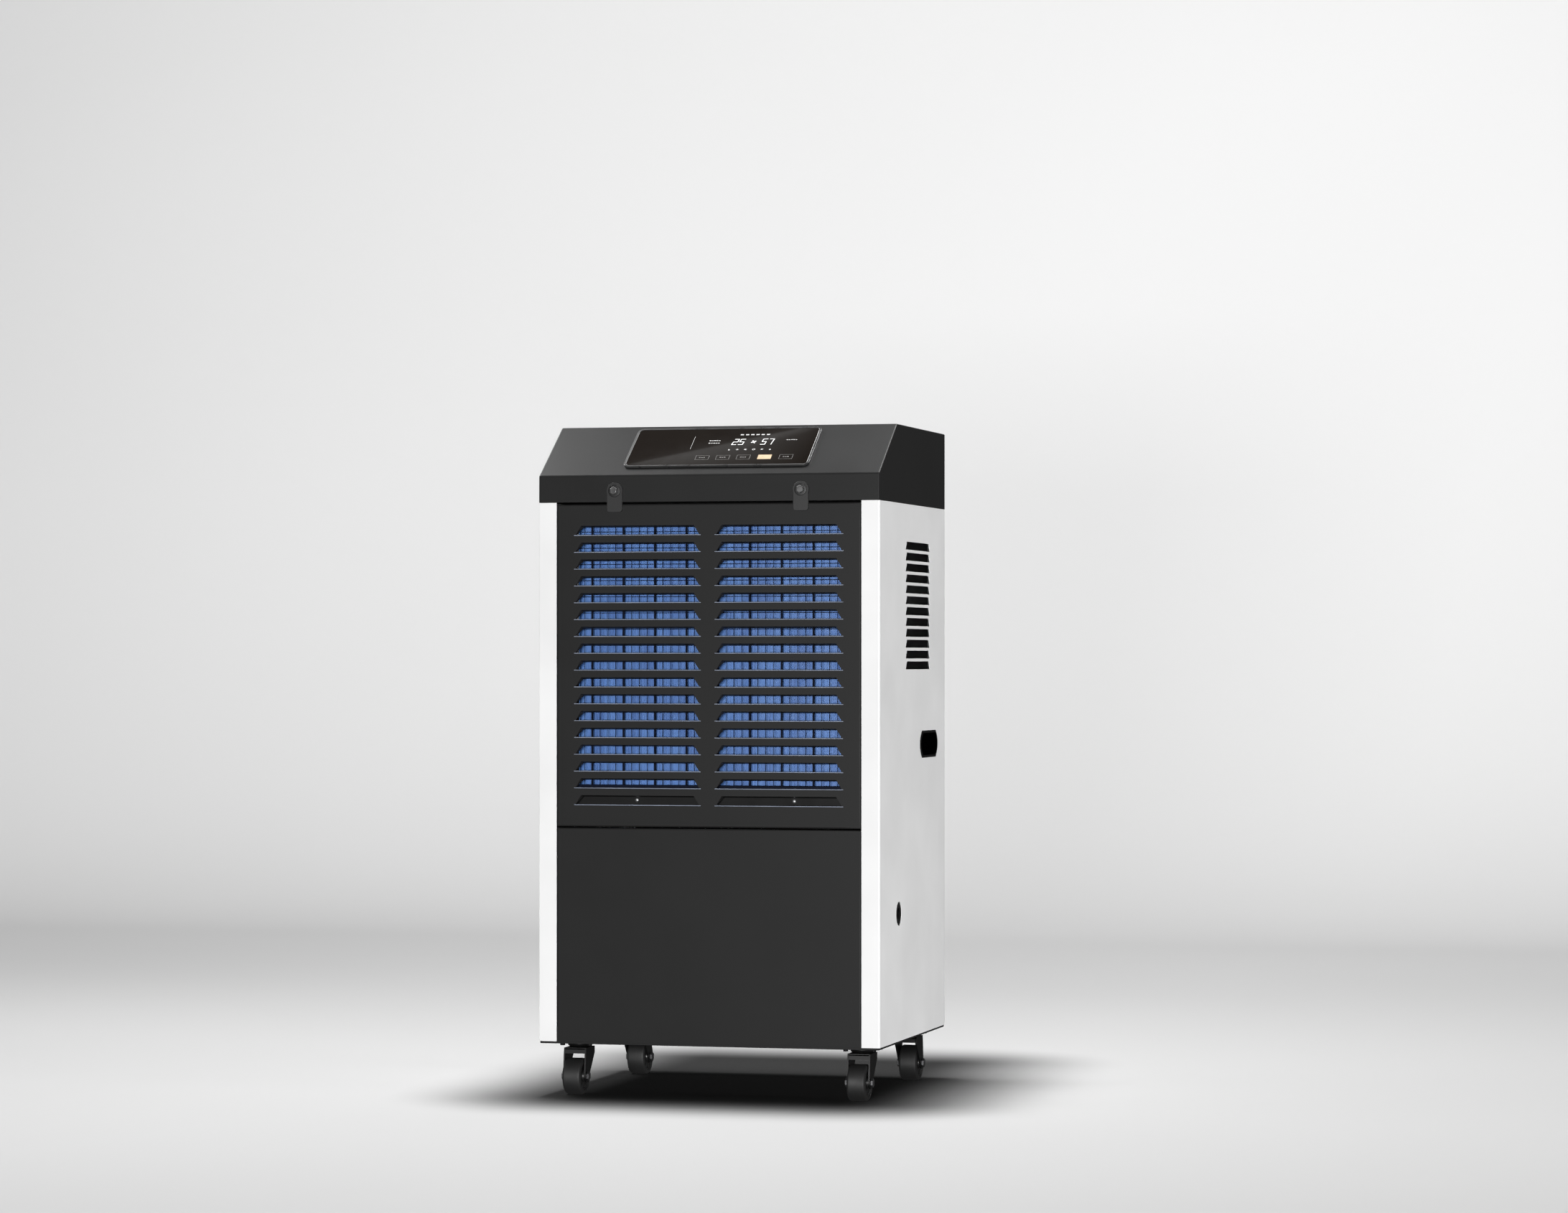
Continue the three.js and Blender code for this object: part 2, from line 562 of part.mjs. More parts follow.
/** The cover's cross-section, shrunk by a thickness on every folded face but the open bottom. */
function coverOutline(thickness, bottom) {
  const front = FRONT + thickness;
  const back = BACK - thickness;
  const top = TOP - thickness;
  const crestY = FRONT + (top - LIP_TOP + thickness / Math.cos(SLOPE_ANGLE)) / Math.tan(SLOPE_ANGLE);
  const lipTop = slopeHeight(front, thickness);
  return polygon([[front, bottom], [back, bottom], [back, top], [crestY, top], [front, lipTop]]);
}

/** Puts a group on the slope: its X along the cabinet, its Y up the slope, its Z outwards. */
function groupOnSlope(x, upSlope) {
  const y = FRONT + upSlope * Math.cos(SLOPE_ANGLE);
  const group = groupAt(x, y, LIP_TOP + upSlope * Math.sin(SLOPE_ANGLE));
  group.rotation.x = SLOPE_ANGLE;
  return group;
}

function addCover() {
  const bottom = PANEL_TOP + CLEARANCE;
  const outside = plateAlongX(coverOutline(0, bottom), -SIDE, SIDE);
  const inside = plateAlongX(coverOutline(SHEET, bottom - 1), -SIDE + SHEET, SIDE - SHEET);
  const boltHoles = [-LATCH_X, LATCH_X].map((x) => bar(Y_AXIS, LATCH_BOLT_RADIUS + HOLE_ALLOWANCE,
    FRONT - 2, FRONT + SHEET + 2, new THREE.Vector3(x, 0, LATCH_Z), 16));
  const window = box(-CONTROL_WIDTH / 2 + 20, CONTROL_WIDTH / 2 - 20, -CONTROL_HEIGHT / 2 + 15,
    CONTROL_HEIGHT / 2 - 15, -SHEET - 1, 1);
  const middle = CONTROL_UP_SLOPE + CONTROL_HEIGHT / 2;
  const windowPlaced = window.rotate([THREE.MathUtils.radToDeg(SLOPE_ANGLE), 0, 0])
    .translate([CONTROL_X, FRONT + middle * Math.cos(SLOPE_ANGLE), LIP_TOP + middle * Math.sin(SLOPE_ANGLE)]);
  addPiece('top_cover', cut(outside, inside, ...boltHoles, windowPlaced), 'charcoal_steel');
}

function addControls() {
  const group = groupOnSlope(CONTROL_X, CONTROL_UP_SLOPE + CONTROL_HEIGHT / 2);
  const corner = BEZEL_WALL + 6;
  const outer = plateAlongZ(roundedRectangle(CONTROL_WIDTH, CONTROL_HEIGHT, corner), CLEARANCE, BEZEL_RISE);
  const innerWidth = CONTROL_WIDTH - 2 * BEZEL_WALL;
  const innerHeight = CONTROL_HEIGHT - 2 * BEZEL_WALL;
  const innerShape = roundedRectangle(innerWidth, innerHeight, corner - BEZEL_WALL);
  const inner = plateAlongZ(innerShape, -1, BEZEL_RISE + 1);
  addPiece('control_bezel', cut(outer, inner), 'black_plastic', group);
  const glassShape = roundedRectangle(innerWidth - 2 * CLEARANCE, innerHeight - 2 * CLEARANCE,
    corner - BEZEL_WALL - CLEARANCE);
  const glass = plateAlongZ(glassShape, CLEARANCE, CLEARANCE + GLASS_THICKNESS);
  addPiece('control_glass', glass, 'black_glass', group);
  const boardTop = -SHEET - 4;
  const board = box(-innerWidth / 2 + 8, innerWidth / 2 - 8, -innerHeight / 2 + 8, innerHeight / 2 - 8,
    boardTop - 1.6, boardTop);
  const digits = box(0, 90, -5, 22, boardTop - 0.1, boardTop + 3.5);
  addPiece('display_board', join(board, digits), 'circuit_board', group);
}

/** A latch: a tab that turns on its bolt in front of the cover's lip. */
function addLatch(side, x) {
  const group = groupAt(x, FRONT, LATCH_Z);
  const holeRadius = LATCH_BOLT_RADIUS + HOLE_ALLOWANCE;
  const tabFront = -CLEARANCE - TAB_THICKNESS;
  const washerFront = tabFront - CLEARANCE - WASHER_THICKNESS;
  const headFront = -GUARD_PROTRUSION;
  const half = TAB_TAIL_WIDTH / 2;
  const corner = 4;
  const outline = new THREE.Shape();
  const shoulder = Math.asin(half / TAB_HEAD_RADIUS);
  outline.absarc(0, 0, TAB_HEAD_RADIUS, -Math.PI / 2 + shoulder, 1.5 * Math.PI - shoulder, false);
  outline.absarc(-half + corner, -TAB_TAIL_LENGTH + corner, corner, Math.PI, 1.5 * Math.PI, false);
  outline.absarc(half - corner, -TAB_TAIL_LENGTH + corner, corner, 1.5 * Math.PI, 2 * Math.PI, false);
  const hole = bar(Y_AXIS, holeRadius, -GUARD_PROTRUSION, 5, new THREE.Vector3(), 16);
  const tab = plateAlongY(outline, tabFront, -CLEARANCE, 5);
  addPiece(`latch_tab_${side}`, cut(tab, hole), 'charcoal_steel', group);
  const washer = bar(Y_AXIS, WASHER_RADIUS, washerFront, tabFront - CLEARANCE);
  addPiece(`latch_washer_${side}`, cut(washer, hole), 'bright_steel', group);
  const head = bar(Y_AXIS, LATCH_HEAD_RADIUS, headFront, washerFront - CLEARANCE, new THREE.Vector3(), 6);
  const shank = bar(Y_AXIS, LATCH_BOLT_RADIUS, headFront + 1, 10, new THREE.Vector3(), 16);
  addPiece(`latch_bolt_${side}`, join(head, shank), 'bright_steel', group);
}

// ---------------------------------------------------------------- filter, coils and drip tray

function addFilter() {
  const y0 = FRONT + FILTER_BEHIND_FRONT;
  const y1 = y0 + FILTER_THICKNESS;
  const half = TRAY_HALF - 1;
  const bottom = TRAY_TOP + CLEARANCE;
  const top = PANEL_TOP - 8;
  const frame = box(-half, half, y0, y1, bottom, top);
  const opening = box(-half + FILTER_BORDER, half - FILTER_BORDER, y0 - 1, y1 + 1, bottom + FILTER_BORDER,
    top - FILTER_BORDER);
  const ribs = [];
  const ribReach = half - FILTER_BORDER;
  const firstRib = Math.ceil((-ribReach - FILTER_RIB_SHIFT) / FILTER_RIB_PITCH);
  const lastRib = Math.floor((ribReach - FILTER_RIB_SHIFT) / FILTER_RIB_PITCH);
  for (let i = firstRib; i <= lastRib; i += 1) {
    const x = FILTER_RIB_SHIFT + i * FILTER_RIB_PITCH;
    ribs.push(box(x - FILTER_RIB / 2, x + FILTER_RIB / 2, y0 + 1, y1 - 1, bottom + 1, top - 1));
  }
  for (let i = 1; i <= 3; i += 1) {
    const z = bottom + ((top - bottom) * i) / 4;
    ribs.push(box(-half + 1, half - 1, y0 + 1.5, y1 - 1.5, z - FILTER_RIB / 2, z + FILTER_RIB / 2));
  }
  addPiece('filter_frame', join(cut(frame, opening), ...ribs), 'black_plastic');
}

/** A coil: a fin block between end plates, with return bends on the right and pipe stubs. */
function coil(middleY, stubs) {
  const y0 = middleY - COIL_THICKNESS / 2;
  const y1 = middleY + COIL_THICKNESS / 2;
  const parts = [box(-COIL_HALF, COIL_HALF, y0, y1, COIL_BOTTOM, COIL_TOP)];
  const endPlate = box(COIL_HALF - 1, COIL_HALF + END_PLATE, y0 - 1.5, y1 + 1.5,
    COIL_BOTTOM - 2, COIL_TOP + 2);
  parts.push(endPlate, mirrored(endPlate));
  const bends = 6;
  const lowestBend = TRAY_TOP + BEND_ABOVE_TRAY;
  const spacing = (COIL_TOP - lowestBend) / bends;
  for (let i = 0; i < bends; i += 1) {
    const z = lowestBend + i * spacing;
    const root = COIL_HALF;
    const reach = COIL_HALF + END_PLATE + 12;
    const arc = [[root, middleY, z - 12], [reach - 4, middleY, z - 10], [reach, middleY, z],
      [reach - 4, middleY, z + 10], [root, middleY, z + 12]];
    parts.push(tubeAlong(arc, TUBE_RADIUS - 1, 6, 6));
  }
  for (const [sign, z] of stubs) {
    parts.push(bar(X_AXIS, TUBE_RADIUS, sign > 0 ? COIL_HALF : -STUB_X, sign > 0 ? STUB_X : -COIL_HALF,
      new THREE.Vector3(0, middleY, z), 12));
  }
  return join(...parts);
}

const DISCHARGE_Z = COIL_TOP - 22;
const CAPILLARY_Z = COIL_TOP - 90;

function addCoils() {
  addPiece('evaporator_coil', coil(EVAPORATOR_Y, [[1, STUB_Z], [-1, CAPILLARY_Z]]), 'blue_fins');
  addPiece('condenser_coil', coil(CONDENSER_Y, [[1, DISCHARGE_Z], [-1, STUB_Z]]), 'aluminium_fins');
}

function addDripTray() {
  const outside = box(-TRAY_HALF, TRAY_HALF, TRAY_FRONT, TRAY_BACK, TRAY_BOTTOM, TRAY_TOP);
  const inside = box(-TRAY_HALF + TRAY_WALL, TRAY_HALF - TRAY_WALL, TRAY_FRONT + TRAY_WALL,
    TRAY_BACK - TRAY_WALL, TRAY_BOTTOM + TRAY_WALL, TRAY_TOP + 1);
  const at = new THREE.Vector3(SPIGOT_X, SPIGOT_Y, 0);
  const spigot = bar(Z_AXIS, SPIGOT_RADIUS, SPIGOT_BOTTOM, TRAY_BOTTOM + 1, at, 16);
  const bore = bar(Z_AXIS, SPIGOT_RADIUS - 2.5, SPIGOT_BOTTOM - 1, TRAY_BOTTOM + TRAY_WALL + 1, at, 16);
  addPiece('drip_tray', cut(join(outside, spigot), inside, bore), 'black_plastic');
}

// ---------------------------------------------------------------- drain

function addDrain() {
  const route = [
    [SPIGOT_X, SPIGOT_Y, SPIGOT_BOTTOM - CLEARANCE],
    [SPIGOT_X, SPIGOT_Y, SPIGOT_BOTTOM - 24],
    [SPIGOT_X + 2, (2 * SPIGOT_Y + DRAIN_Y) / 3, (2 * SPIGOT_BOTTOM + DRAIN_Z) / 3],
    [SPIGOT_X + 18, (SPIGOT_Y + 2 * DRAIN_Y) / 3, DRAIN_Z + 18],
    [DRAIN_INNER_END - 12, DRAIN_Y, DRAIN_Z],
    [DRAIN_INNER_END - CLEARANCE, DRAIN_Y, DRAIN_Z],
  ];
  addPiece('drain_hose', tubeAlong(route, HOSE_RADIUS, 22, 10), 'clear_hose');
  const collarFace = -SHEET - CLEARANCE;
  const collarRadius = DRAIN_HOLE_RADIUS + 7;
  const spoutRadius = DRAIN_HOLE_RADIUS - 3;
  const outline = [[DRAIN_BORE_RADIUS, -DRAIN_SPOUT_LENGTH], [HOSE_RADIUS, -DRAIN_SPOUT_LENGTH],
    [HOSE_RADIUS, collarFace - 3], [collarRadius, collarFace - 3], [collarRadius, collarFace],
    [spoutRadius, collarFace], [spoutRadius, -0.5], [DRAIN_BORE_RADIUS, -0.5],
    [DRAIN_BORE_RADIUS, -DRAIN_SPOUT_LENGTH]];
  addPiece('drain_outlet', turned(outline, X_AXIS, 24), 'black_plastic').position.set(SIDE, DRAIN_Y, DRAIN_Z);
}

// ---------------------------------------------------------------- fan

function addFan() {
  const group = groupAt(0, 0, FAN_Z);
  const wall = 1.5;
  const plateBack = BACK - SHEET - CLEARANCE;
  const inlet = plateBack - SHROUD_DEPTH;
  const flareRadius = OUTLET_RADIUS + SHROUD_FLARE;
  const bend = SHROUD_FLARE * 0.3;
  const outside = OUTLET_RADIUS + wall;
  const ringOutline = [[OUTLET_RADIUS, plateBack], [OUTLET_RADIUS, inlet + SHROUD_FLARE],
    [OUTLET_RADIUS + bend, inlet + bend], [flareRadius, inlet], [flareRadius, inlet + wall],
    [outside + bend, inlet + bend + wall], [outside, inlet + SHROUD_FLARE + wall],
    [outside, plateBack], [OUTLET_RADIUS, plateBack]];
  const plateHalf = OUTLET_RADIUS + SHROUD_MARGIN;
  const plate = box(-plateHalf, plateHalf, plateBack - wall, plateBack, -plateHalf, plateHalf);
  const mouth = bar(Y_AXIS, OUTLET_RADIUS + 0.5, plateBack - 5, plateBack + 5, new THREE.Vector3(), 36);
  addPiece('fan_shroud', join(cut(plate, mouth), turned(ringOutline, Y_AXIS, 36)), 'charcoal_steel', group);

  const motorFront = MOTOR_BACK - MOTOR_LENGTH;
  const body = bar(Y_AXIS, MOTOR_RADIUS, motorFront, MOTOR_BACK, new THREE.Vector3(), 28);
  const collar = bar(Y_AXIS, SHAFT_RADIUS * 3, motorFront - 3, motorFront + 1, new THREE.Vector3(), 20);
  const shaftFront = HUB_MIDDLE - HUB_LENGTH / 2 - 4;
  const shaft = bar(Y_AXIS, SHAFT_RADIUS, shaftFront, motorFront, new THREE.Vector3(), 16);
  addPiece('fan_motor', join(body, collar, shaft), 'black_enamel', group);

  const bladeTip = OUTLET_RADIUS - BLADE_TIP_GAP;
  const hub = bar(Y_AXIS, HUB_RADIUS, HUB_MIDDLE - HUB_LENGTH / 2, HUB_MIDDLE + HUB_LENGTH / 2 - 4,
    new THREE.Vector3(), 28);
  const outline = new THREE.Shape();
  outline.moveTo(-20, HUB_RADIUS - 8);
  outline.lineTo(20, HUB_RADIUS - 8);
  outline.quadraticCurveTo(34, bladeTip * 0.6, 50, bladeTip * 0.97);
  outline.lineTo(46, bladeTip + 10);
  outline.lineTo(-40, bladeTip + 10);
  outline.quadraticCurveTo(-44, bladeTip * 0.6, -20, HUB_RADIUS - 8);
  const flat = plateAlongY(outline, -BLADE_THICKNESS / 2, BLADE_THICKNESS / 2);
  const pitched = flat.rotate([0, 0, THREE.MathUtils.radToDeg(BLADE_PITCH)]);
  const blades = [];
  for (let i = 0; i < BLADE_COUNT; i += 1) {
    blades.push(pitched.rotate([0, (360 * i) / BLADE_COUNT, 0]).translate([0, HUB_MIDDLE, 0]));
  }
  const sweep = bar(Y_AXIS, bladeTip, HUB_MIDDLE - 40, HUB_MIDDLE + 40, new THREE.Vector3(), 48);
  const bore = bar(Y_AXIS, SHAFT_RADIUS + CLEARANCE, HUB_MIDDLE - HUB_LENGTH, HUB_MIDDLE + HUB_LENGTH,
    new THREE.Vector3(), 16);
  const impeller = cut(join(hub, ...blades).intersect(sweep), bore);
  addPiece('fan_impeller', impeller, 'black_plastic', group);
}

/** The wire guard over the outlet; its middle plate carries the motor. */
function addFanGuard() {
  const group = groupAt(0, 0, FAN_Z);
  const rimRadius = OUTLET_RADIUS + GUARD_RIM_OVERLAP;
  const rim = turned([[rimRadius - 2, BACK + CLEARANCE], [rimRadius + 2, BACK + CLEARANCE],
    [rimRadius + 2, GUARD_BACK], [rimRadius - 2, GUARD_BACK], [rimRadius - 2, BACK + CLEARANCE]], Y_AXIS, 32);
  const parts = [rim];
  const plateRadius = MOTOR_RADIUS + 4;
  const plateFront = MOTOR_BACK + CLEARANCE;
  parts.push(bar(Y_AXIS, plateRadius, plateFront, plateFront + 3, new THREE.Vector3(), 28));
  for (let i = 1; i <= GUARD_RINGS; i += 1) {
    const radius = plateRadius + ((rimRadius - plateRadius) * i) / (GUARD_RINGS + 1);
    const ring = new THREE.TorusGeometry(radius, GUARD_WIRE, 4, 32);
    ring.rotateX(Math.PI / 2);
    ring.translate(0, GUARD_BACK - GUARD_WIRE, 0);
    parts.push(solidOf(ring));
  }
  const spokeFront = plateFront + 1;
  for (let i = 0; i < 4; i += 1) {
    const spoke = box(plateRadius - 6, rimRadius, spokeFront, GUARD_BACK - GUARD_WIRE, -2.5, 2.5);
    parts.push(spoke.rotate([0, 45 + 90 * i, 0]));
  }
  addPiece('fan_guard', join(...parts), 'bright_steel', group);
}

// ---------------------------------------------------------------- compressor and pipes

function addCompressor() {
  const group = groupAt(COMPRESSOR_X, COMPRESSOR_Y, 0);
  const r = COMPRESSOR_RADIUS;
  const z0 = COMPRESSOR_BOTTOM - 2;
  const z1 = COMPRESSOR_TOP;
  const outline = [[0, z0], [r * 0.8, z0], [r * 0.97, z0 + 8], [r, z0 + 22], [r, z1 - 32],
    [r * 0.93, z1 - 16], [r * 0.66, z1 - 4], [0, z1]];
  const shell = turned(outline, Z_AXIS, 24);
  const terminals = box(-16, 16, -14, 14, z1 - 8, z1 + 14);
  const outlet = bar(Z_AXIS, TUBE_RADIUS + 1, z1 - 8, z1 + 8, new THREE.Vector3(-r * 0.55, 0, 0), 12);
  const feet = [0, 1, 2].map((i) => {
    const angle = Math.PI / 2 + (2 * Math.PI * i) / 3;
    return [FOOT_CIRCLE * Math.cos(angle), FOOT_CIRCLE * Math.sin(angle)];
  });
  const plateParts = feet.map(([x, y]) => {
    const arm = box(0, FOOT_CIRCLE, -16, 16, COMPRESSOR_FOOT_TOP, COMPRESSOR_BOTTOM);
    const tip = new THREE.Vector3(FOOT_CIRCLE, 0, 0);
    const end = bar(Z_AXIS, 16, COMPRESSOR_FOOT_TOP, COMPRESSOR_BOTTOM, tip, 16);
    return join(arm, end).rotate([0, 0, THREE.MathUtils.radToDeg(Math.atan2(y, x))]);
  });
  addPiece('compressor', join(shell, terminals, outlet, ...plateParts), 'black_enamel', group);
  const footBottom = PAN_Z + PAN_SHEET + CLEARANCE;
  const footTop = footBottom + FOOT_HEIGHT;
  const waist = FOOT_RADIUS - 3;
  const footOutline = [[0, footBottom], [FOOT_RADIUS, footBottom], [FOOT_RADIUS, footBottom + 5],
    [waist, footBottom + 7], [waist, footTop - 5], [FOOT_RADIUS, footTop - 3],
    [FOOT_RADIUS, footTop], [0, footTop]];
  feet.forEach(([x, y], i) => {
    const foot = turned(footOutline, Z_AXIS, 12);
    addPiece(`compressor_foot_${i + 1}`, foot, 'black_rubber', group).position.set(x, y, 0);
  });
}

function addAccumulator() {
  const r = ACCUMULATOR_RADIUS;
  const z0 = ACCUMULATOR_BOTTOM;
  const z1 = ACCUMULATOR_TOP;
  const outline = [[0, z0], [r * 0.7, z0 + 2], [r, z0 + 14], [r, z1 - 14], [r * 0.6, z1 - 3], [0, z1]];
  const can = turned(outline, Z_AXIS, 20);
  const inlet = bar(Z_AXIS, TUBE_RADIUS + 1, z1 - 6, z1 + 12, new THREE.Vector3(), 12);
  const gap = ACCUMULATOR_RADIUS + ACCUMULATOR_GAP - CLEARANCE - 0.2;
  const elbow = tubeAlong([[0, 0, z0 + 6], [0, 0, z0 - 12], [-8, 0, z0 - 24], [-gap + 6, 0, z0 - 26],
    [-gap, 0, z0 - 26]], TUBE_RADIUS + 1, 10, 8);
  const whole = join(can, inlet, elbow);
  addPiece('accumulator', whole, 'black_enamel').position.set(ACCUMULATOR_X, COMPRESSOR_Y, 0);
}

function addPipes() {
  const dischargeX = COMPRESSOR_X - COMPRESSOR_RADIUS * 0.55;
  const dischargeStart = COMPRESSOR_TOP + 8 + CLEARANCE;
  const underDeck = DECK_Z - 14;
  const stubEnd = STUB_X + CLEARANCE;
  addPiece('discharge_pipe', tubeAlong([
    [dischargeX, COMPRESSOR_Y, dischargeStart],
    [dischargeX, COMPRESSOR_Y, dischargeStart + 6],
    [dischargeX + 16, COMPRESSOR_Y - 30, underDeck],
    [RISER_X - 40, CONDENSER_Y + 4, underDeck],
    [RISER_X - 4, CONDENSER_Y, underDeck + 6],
    [RISER_X, CONDENSER_Y, DECK_TOP + 30],
    [RISER_X, CONDENSER_Y, DISCHARGE_Z - 40],
    [RISER_X, CONDENSER_Y, DISCHARGE_Z - 10],
    [stubEnd + 4, CONDENSER_Y, DISCHARGE_Z],
    [stubEnd, CONDENSER_Y, DISCHARGE_Z],
  ], TUBE_RADIUS, 32, 8), 'copper');
  addPiece('suction_pipe', tubeAlong([
    [stubEnd, EVAPORATOR_Y, STUB_Z],
    [stubEnd + 4, EVAPORATOR_Y, STUB_Z],
    [RISER_X, EVAPORATOR_Y, TRAY_TOP],
    [RISER_X, EVAPORATOR_Y, DECK_TOP + 10],
    [RISER_X, EVAPORATOR_Y + 2, underDeck - 20],
    [RISER_X - 16, EVAPORATOR_Y + 60, underDeck - 40],
    [ACCUMULATOR_X + 14, COMPRESSOR_Y - 14, ACCUMULATOR_TOP + 40],
    [ACCUMULATOR_X, COMPRESSOR_Y, ACCUMULATOR_TOP + 28],
    [ACCUMULATOR_X, COMPRESSOR_Y, ACCUMULATOR_TOP + 12 + CLEARANCE],
  ], TUBE_RADIUS, 28, 8), 'copper');
  const drierBottom = STUB_Z + 44;
  const drierTop = drierBottom + 96;
  addPiece('liquid_pipe', tubeAlong([
    [-stubEnd, CONDENSER_Y, STUB_Z],
    [-stubEnd - 4, CONDENSER_Y, STUB_Z],
    [-RISER_X, CONDENSER_Y, STUB_Z + 12],
    [-RISER_X, CONDENSER_Y, drierBottom - CLEARANCE],
  ], TUBE_RADIUS - 1, 10, 8), 'copper');
  const drierOutline = [[0, 0], [4.5, 0], [4.5, 6], [10, 16], [10, 80], [3, 90], [3, 96], [0, 96]];
  const drier = turned(drierOutline, Z_AXIS, 16);
  addPiece('filter_drier', drier, 'copper').position.set(-RISER_X, CONDENSER_Y, drierBottom);
  addPiece('capillary_tube', tubeAlong([
    [-RISER_X, CONDENSER_Y, drierTop + CLEARANCE],
    [-RISER_X, CONDENSER_Y, drierTop + 24],
    [-RISER_X - 2, (CONDENSER_Y + EVAPORATOR_Y) / 2, CAPILLARY_Z - 50],
    [-RISER_X, EVAPORATOR_Y, CAPILLARY_Z - 12],
    [-stubEnd - 4, EVAPORATOR_Y, CAPILLARY_Z],
    [-stubEnd, EVAPORATOR_Y, CAPILLARY_Z],
  ], 2, 18, 6), 'copper');
}

// ---------------------------------------------------------------- electrics

function addElectrics() {
  const wallX = -SIDE + SHEET + 2;
  const depth = 46;
  const [y0, y1, z0, z1] = [FRONT + 55, FRONT + 215, PANEL_BOTTOM + 76, PANEL_BOTTOM + 256];
  const outside = box(wallX, wallX + depth, y0, y1, z0, z1);
  const inside = box(wallX + SHEET, wallX + depth + 1, y0 + SHEET, y1 - SHEET, z0 + SHEET, z1 - SHEET);
  addPiece('electrical_box', cut(outside, inside), 'zinc_steel');
  const boardX = wallX + SHEET + 6;
  const board = box(boardX, boardX + 1.6, y0 + 12, y1 - 12, z0 + 14, z1 - 14);
  const relays = [24, 58, 92].map((along) => box(boardX + 1, boardX + 18, y0 + along, y0 + along + 24,
    z0 + 24, z0 + 52));
  const transformer = box(boardX + 1, boardX + 24, y0 + 30, y0 + 76, z1 - 70, z1 - 30);
  addPiece('control_board', join(board, ...relays, transformer), 'circuit_board');
  const radius = 20;
  const can = turned([[0, 0], [radius, 0], [radius, 78], [radius - 3, 82], [0, 82]], Z_AXIS, 20);
  addPiece('run_capacitor', can, 'zinc_steel').position.set(wallX + radius, y1 + radius + 14, z0 + 20);
  const sensorX = -SIDE + SHEET + 6;
  const sensor = box(sensorX, sensorX + 18, FRONT + 19, FRONT + 28, FAN_Z, FAN_Z + 34);
  addPiece('humidity_sensor', sensor, 'black_plastic');
}

// ---------------------------------------------------------------- casters

/** A swivel caster about its kingpin, its wheel trailing towards local +Y. */
function addCaster(place, x, y, trail) {
  const group = groupAt(x, y, 0);
  if (trail < 0) group.rotation.z = Math.PI;
  const plateBottom = CASTER_TOP - CASTER_PLATE;
  const plateShape = roundedRectangle(CASTER_PLATE_SIZE, CASTER_PLATE_SIZE, 5);
  const plate = plateAlongZ(plateShape, plateBottom, CASTER_TOP, 1);
  const raceBottom = CROWN_TOP + CLEARANCE;
  const headTop = CROWN_BOTTOM - CLEARANCE;
  const headRadius = KINGPIN_RADIUS + 3;
  const pin = turned([[0, headTop - 4], [headRadius - 2, headTop - 4], [headRadius, headTop - 2],
    [headRadius, headTop], [KINGPIN_RADIUS, headTop], [KINGPIN_RADIUS, raceBottom], [15, raceBottom],
    [17, plateBottom + 1], [0, plateBottom + 1]], Z_AXIS, 14);
  addPiece(`caster_plate_${place}`, join(plate, pin), 'zinc_steel', group);

  const axleY = CASTER_TRAIL;
  const axleZ = WHEEL_RADIUS;
  const legInner = WHEEL_WIDTH / 2 + FORK_SIDE_GAP;
  const legOuter = legInner + FORK_SHEET;
  const crown = box(-legOuter, legOuter, -16, axleY + 4, CROWN_BOTTOM, CROWN_TOP);
  const legShape = new THREE.Shape();
  legShape.moveTo(-16, CROWN_TOP);
  legShape.lineTo(-16, CROWN_TOP - 9);
  legShape.lineTo(axleY - 8.6, axleZ - 2);
  legShape.absarc(axleY, axleZ, 9, Math.PI + 0.2, 2 * Math.PI, false);
  legShape.lineTo(axleY + 6, CROWN_TOP - 8);
  legShape.lineTo(axleY + 4, CROWN_TOP);
  const leftLeg = plateAlongX(legShape, -legOuter, -legInner);
  const rightLeg = plateAlongX(legShape, legInner, legOuter);
  const pinHole = bar(Z_AXIS, KINGPIN_RADIUS + HOLE_ALLOWANCE, CROWN_BOTTOM - 2, CROWN_TOP + 2,
    new THREE.Vector3(), 14);
  const axleCentre = new THREE.Vector3(0, axleY, axleZ);
  const axleHole = bar(X_AXIS, AXLE_RADIUS + CLEARANCE, -legOuter - 2, legOuter + 2, axleCentre, 12);
  const fork = cut(join(crown, leftLeg, rightLeg), pinHole, axleHole);
  addPiece(`caster_fork_${place}`, fork, 'black_enamel', group);

  // The wheel has flat sides, and stands on one of them.
  const reach = 1 / Math.cos(Math.PI / WHEEL_SIDES);
  const w = WHEEL_WIDTH / 2;
  const bore = AXLE_RADIUS + CLEARANCE;
  const tread = WHEEL_RADIUS * reach;
  const outline = [[bore, -w], [tread - 3, -w], [tread, -w + 4], [tread, w - 4], [tread - 3, w], [bore, w],
    [bore, -w]];
  const wheel = turned(outline, X_AXIS, WHEEL_SIDES).rotate([180 / WHEEL_SIDES, 0, 0]);
  addPiece(`caster_wheel_${place}`, wheel, 'black_rubber', group).position.copy(axleCentre);

  const headEnd = legOuter + CLEARANCE;
  const shank = bar(X_AXIS, AXLE_RADIUS, -headEnd - 1, headEnd + 1, new THREE.Vector3(), 12);
  const head = bar(X_AXIS, AXLE_RADIUS + 2.4, -headEnd - 3.5, -headEnd, new THREE.Vector3(), 6);
  const nut = bar(X_AXIS, AXLE_RADIUS + 2.4, headEnd, headEnd + 3.5, new THREE.Vector3(), 6);
  addPiece(`caster_axle_${place}`, join(shank, head, nut), 'zinc_steel', group).position.copy(axleCentre);
}

// ---------------------------------------------------------------- assembly

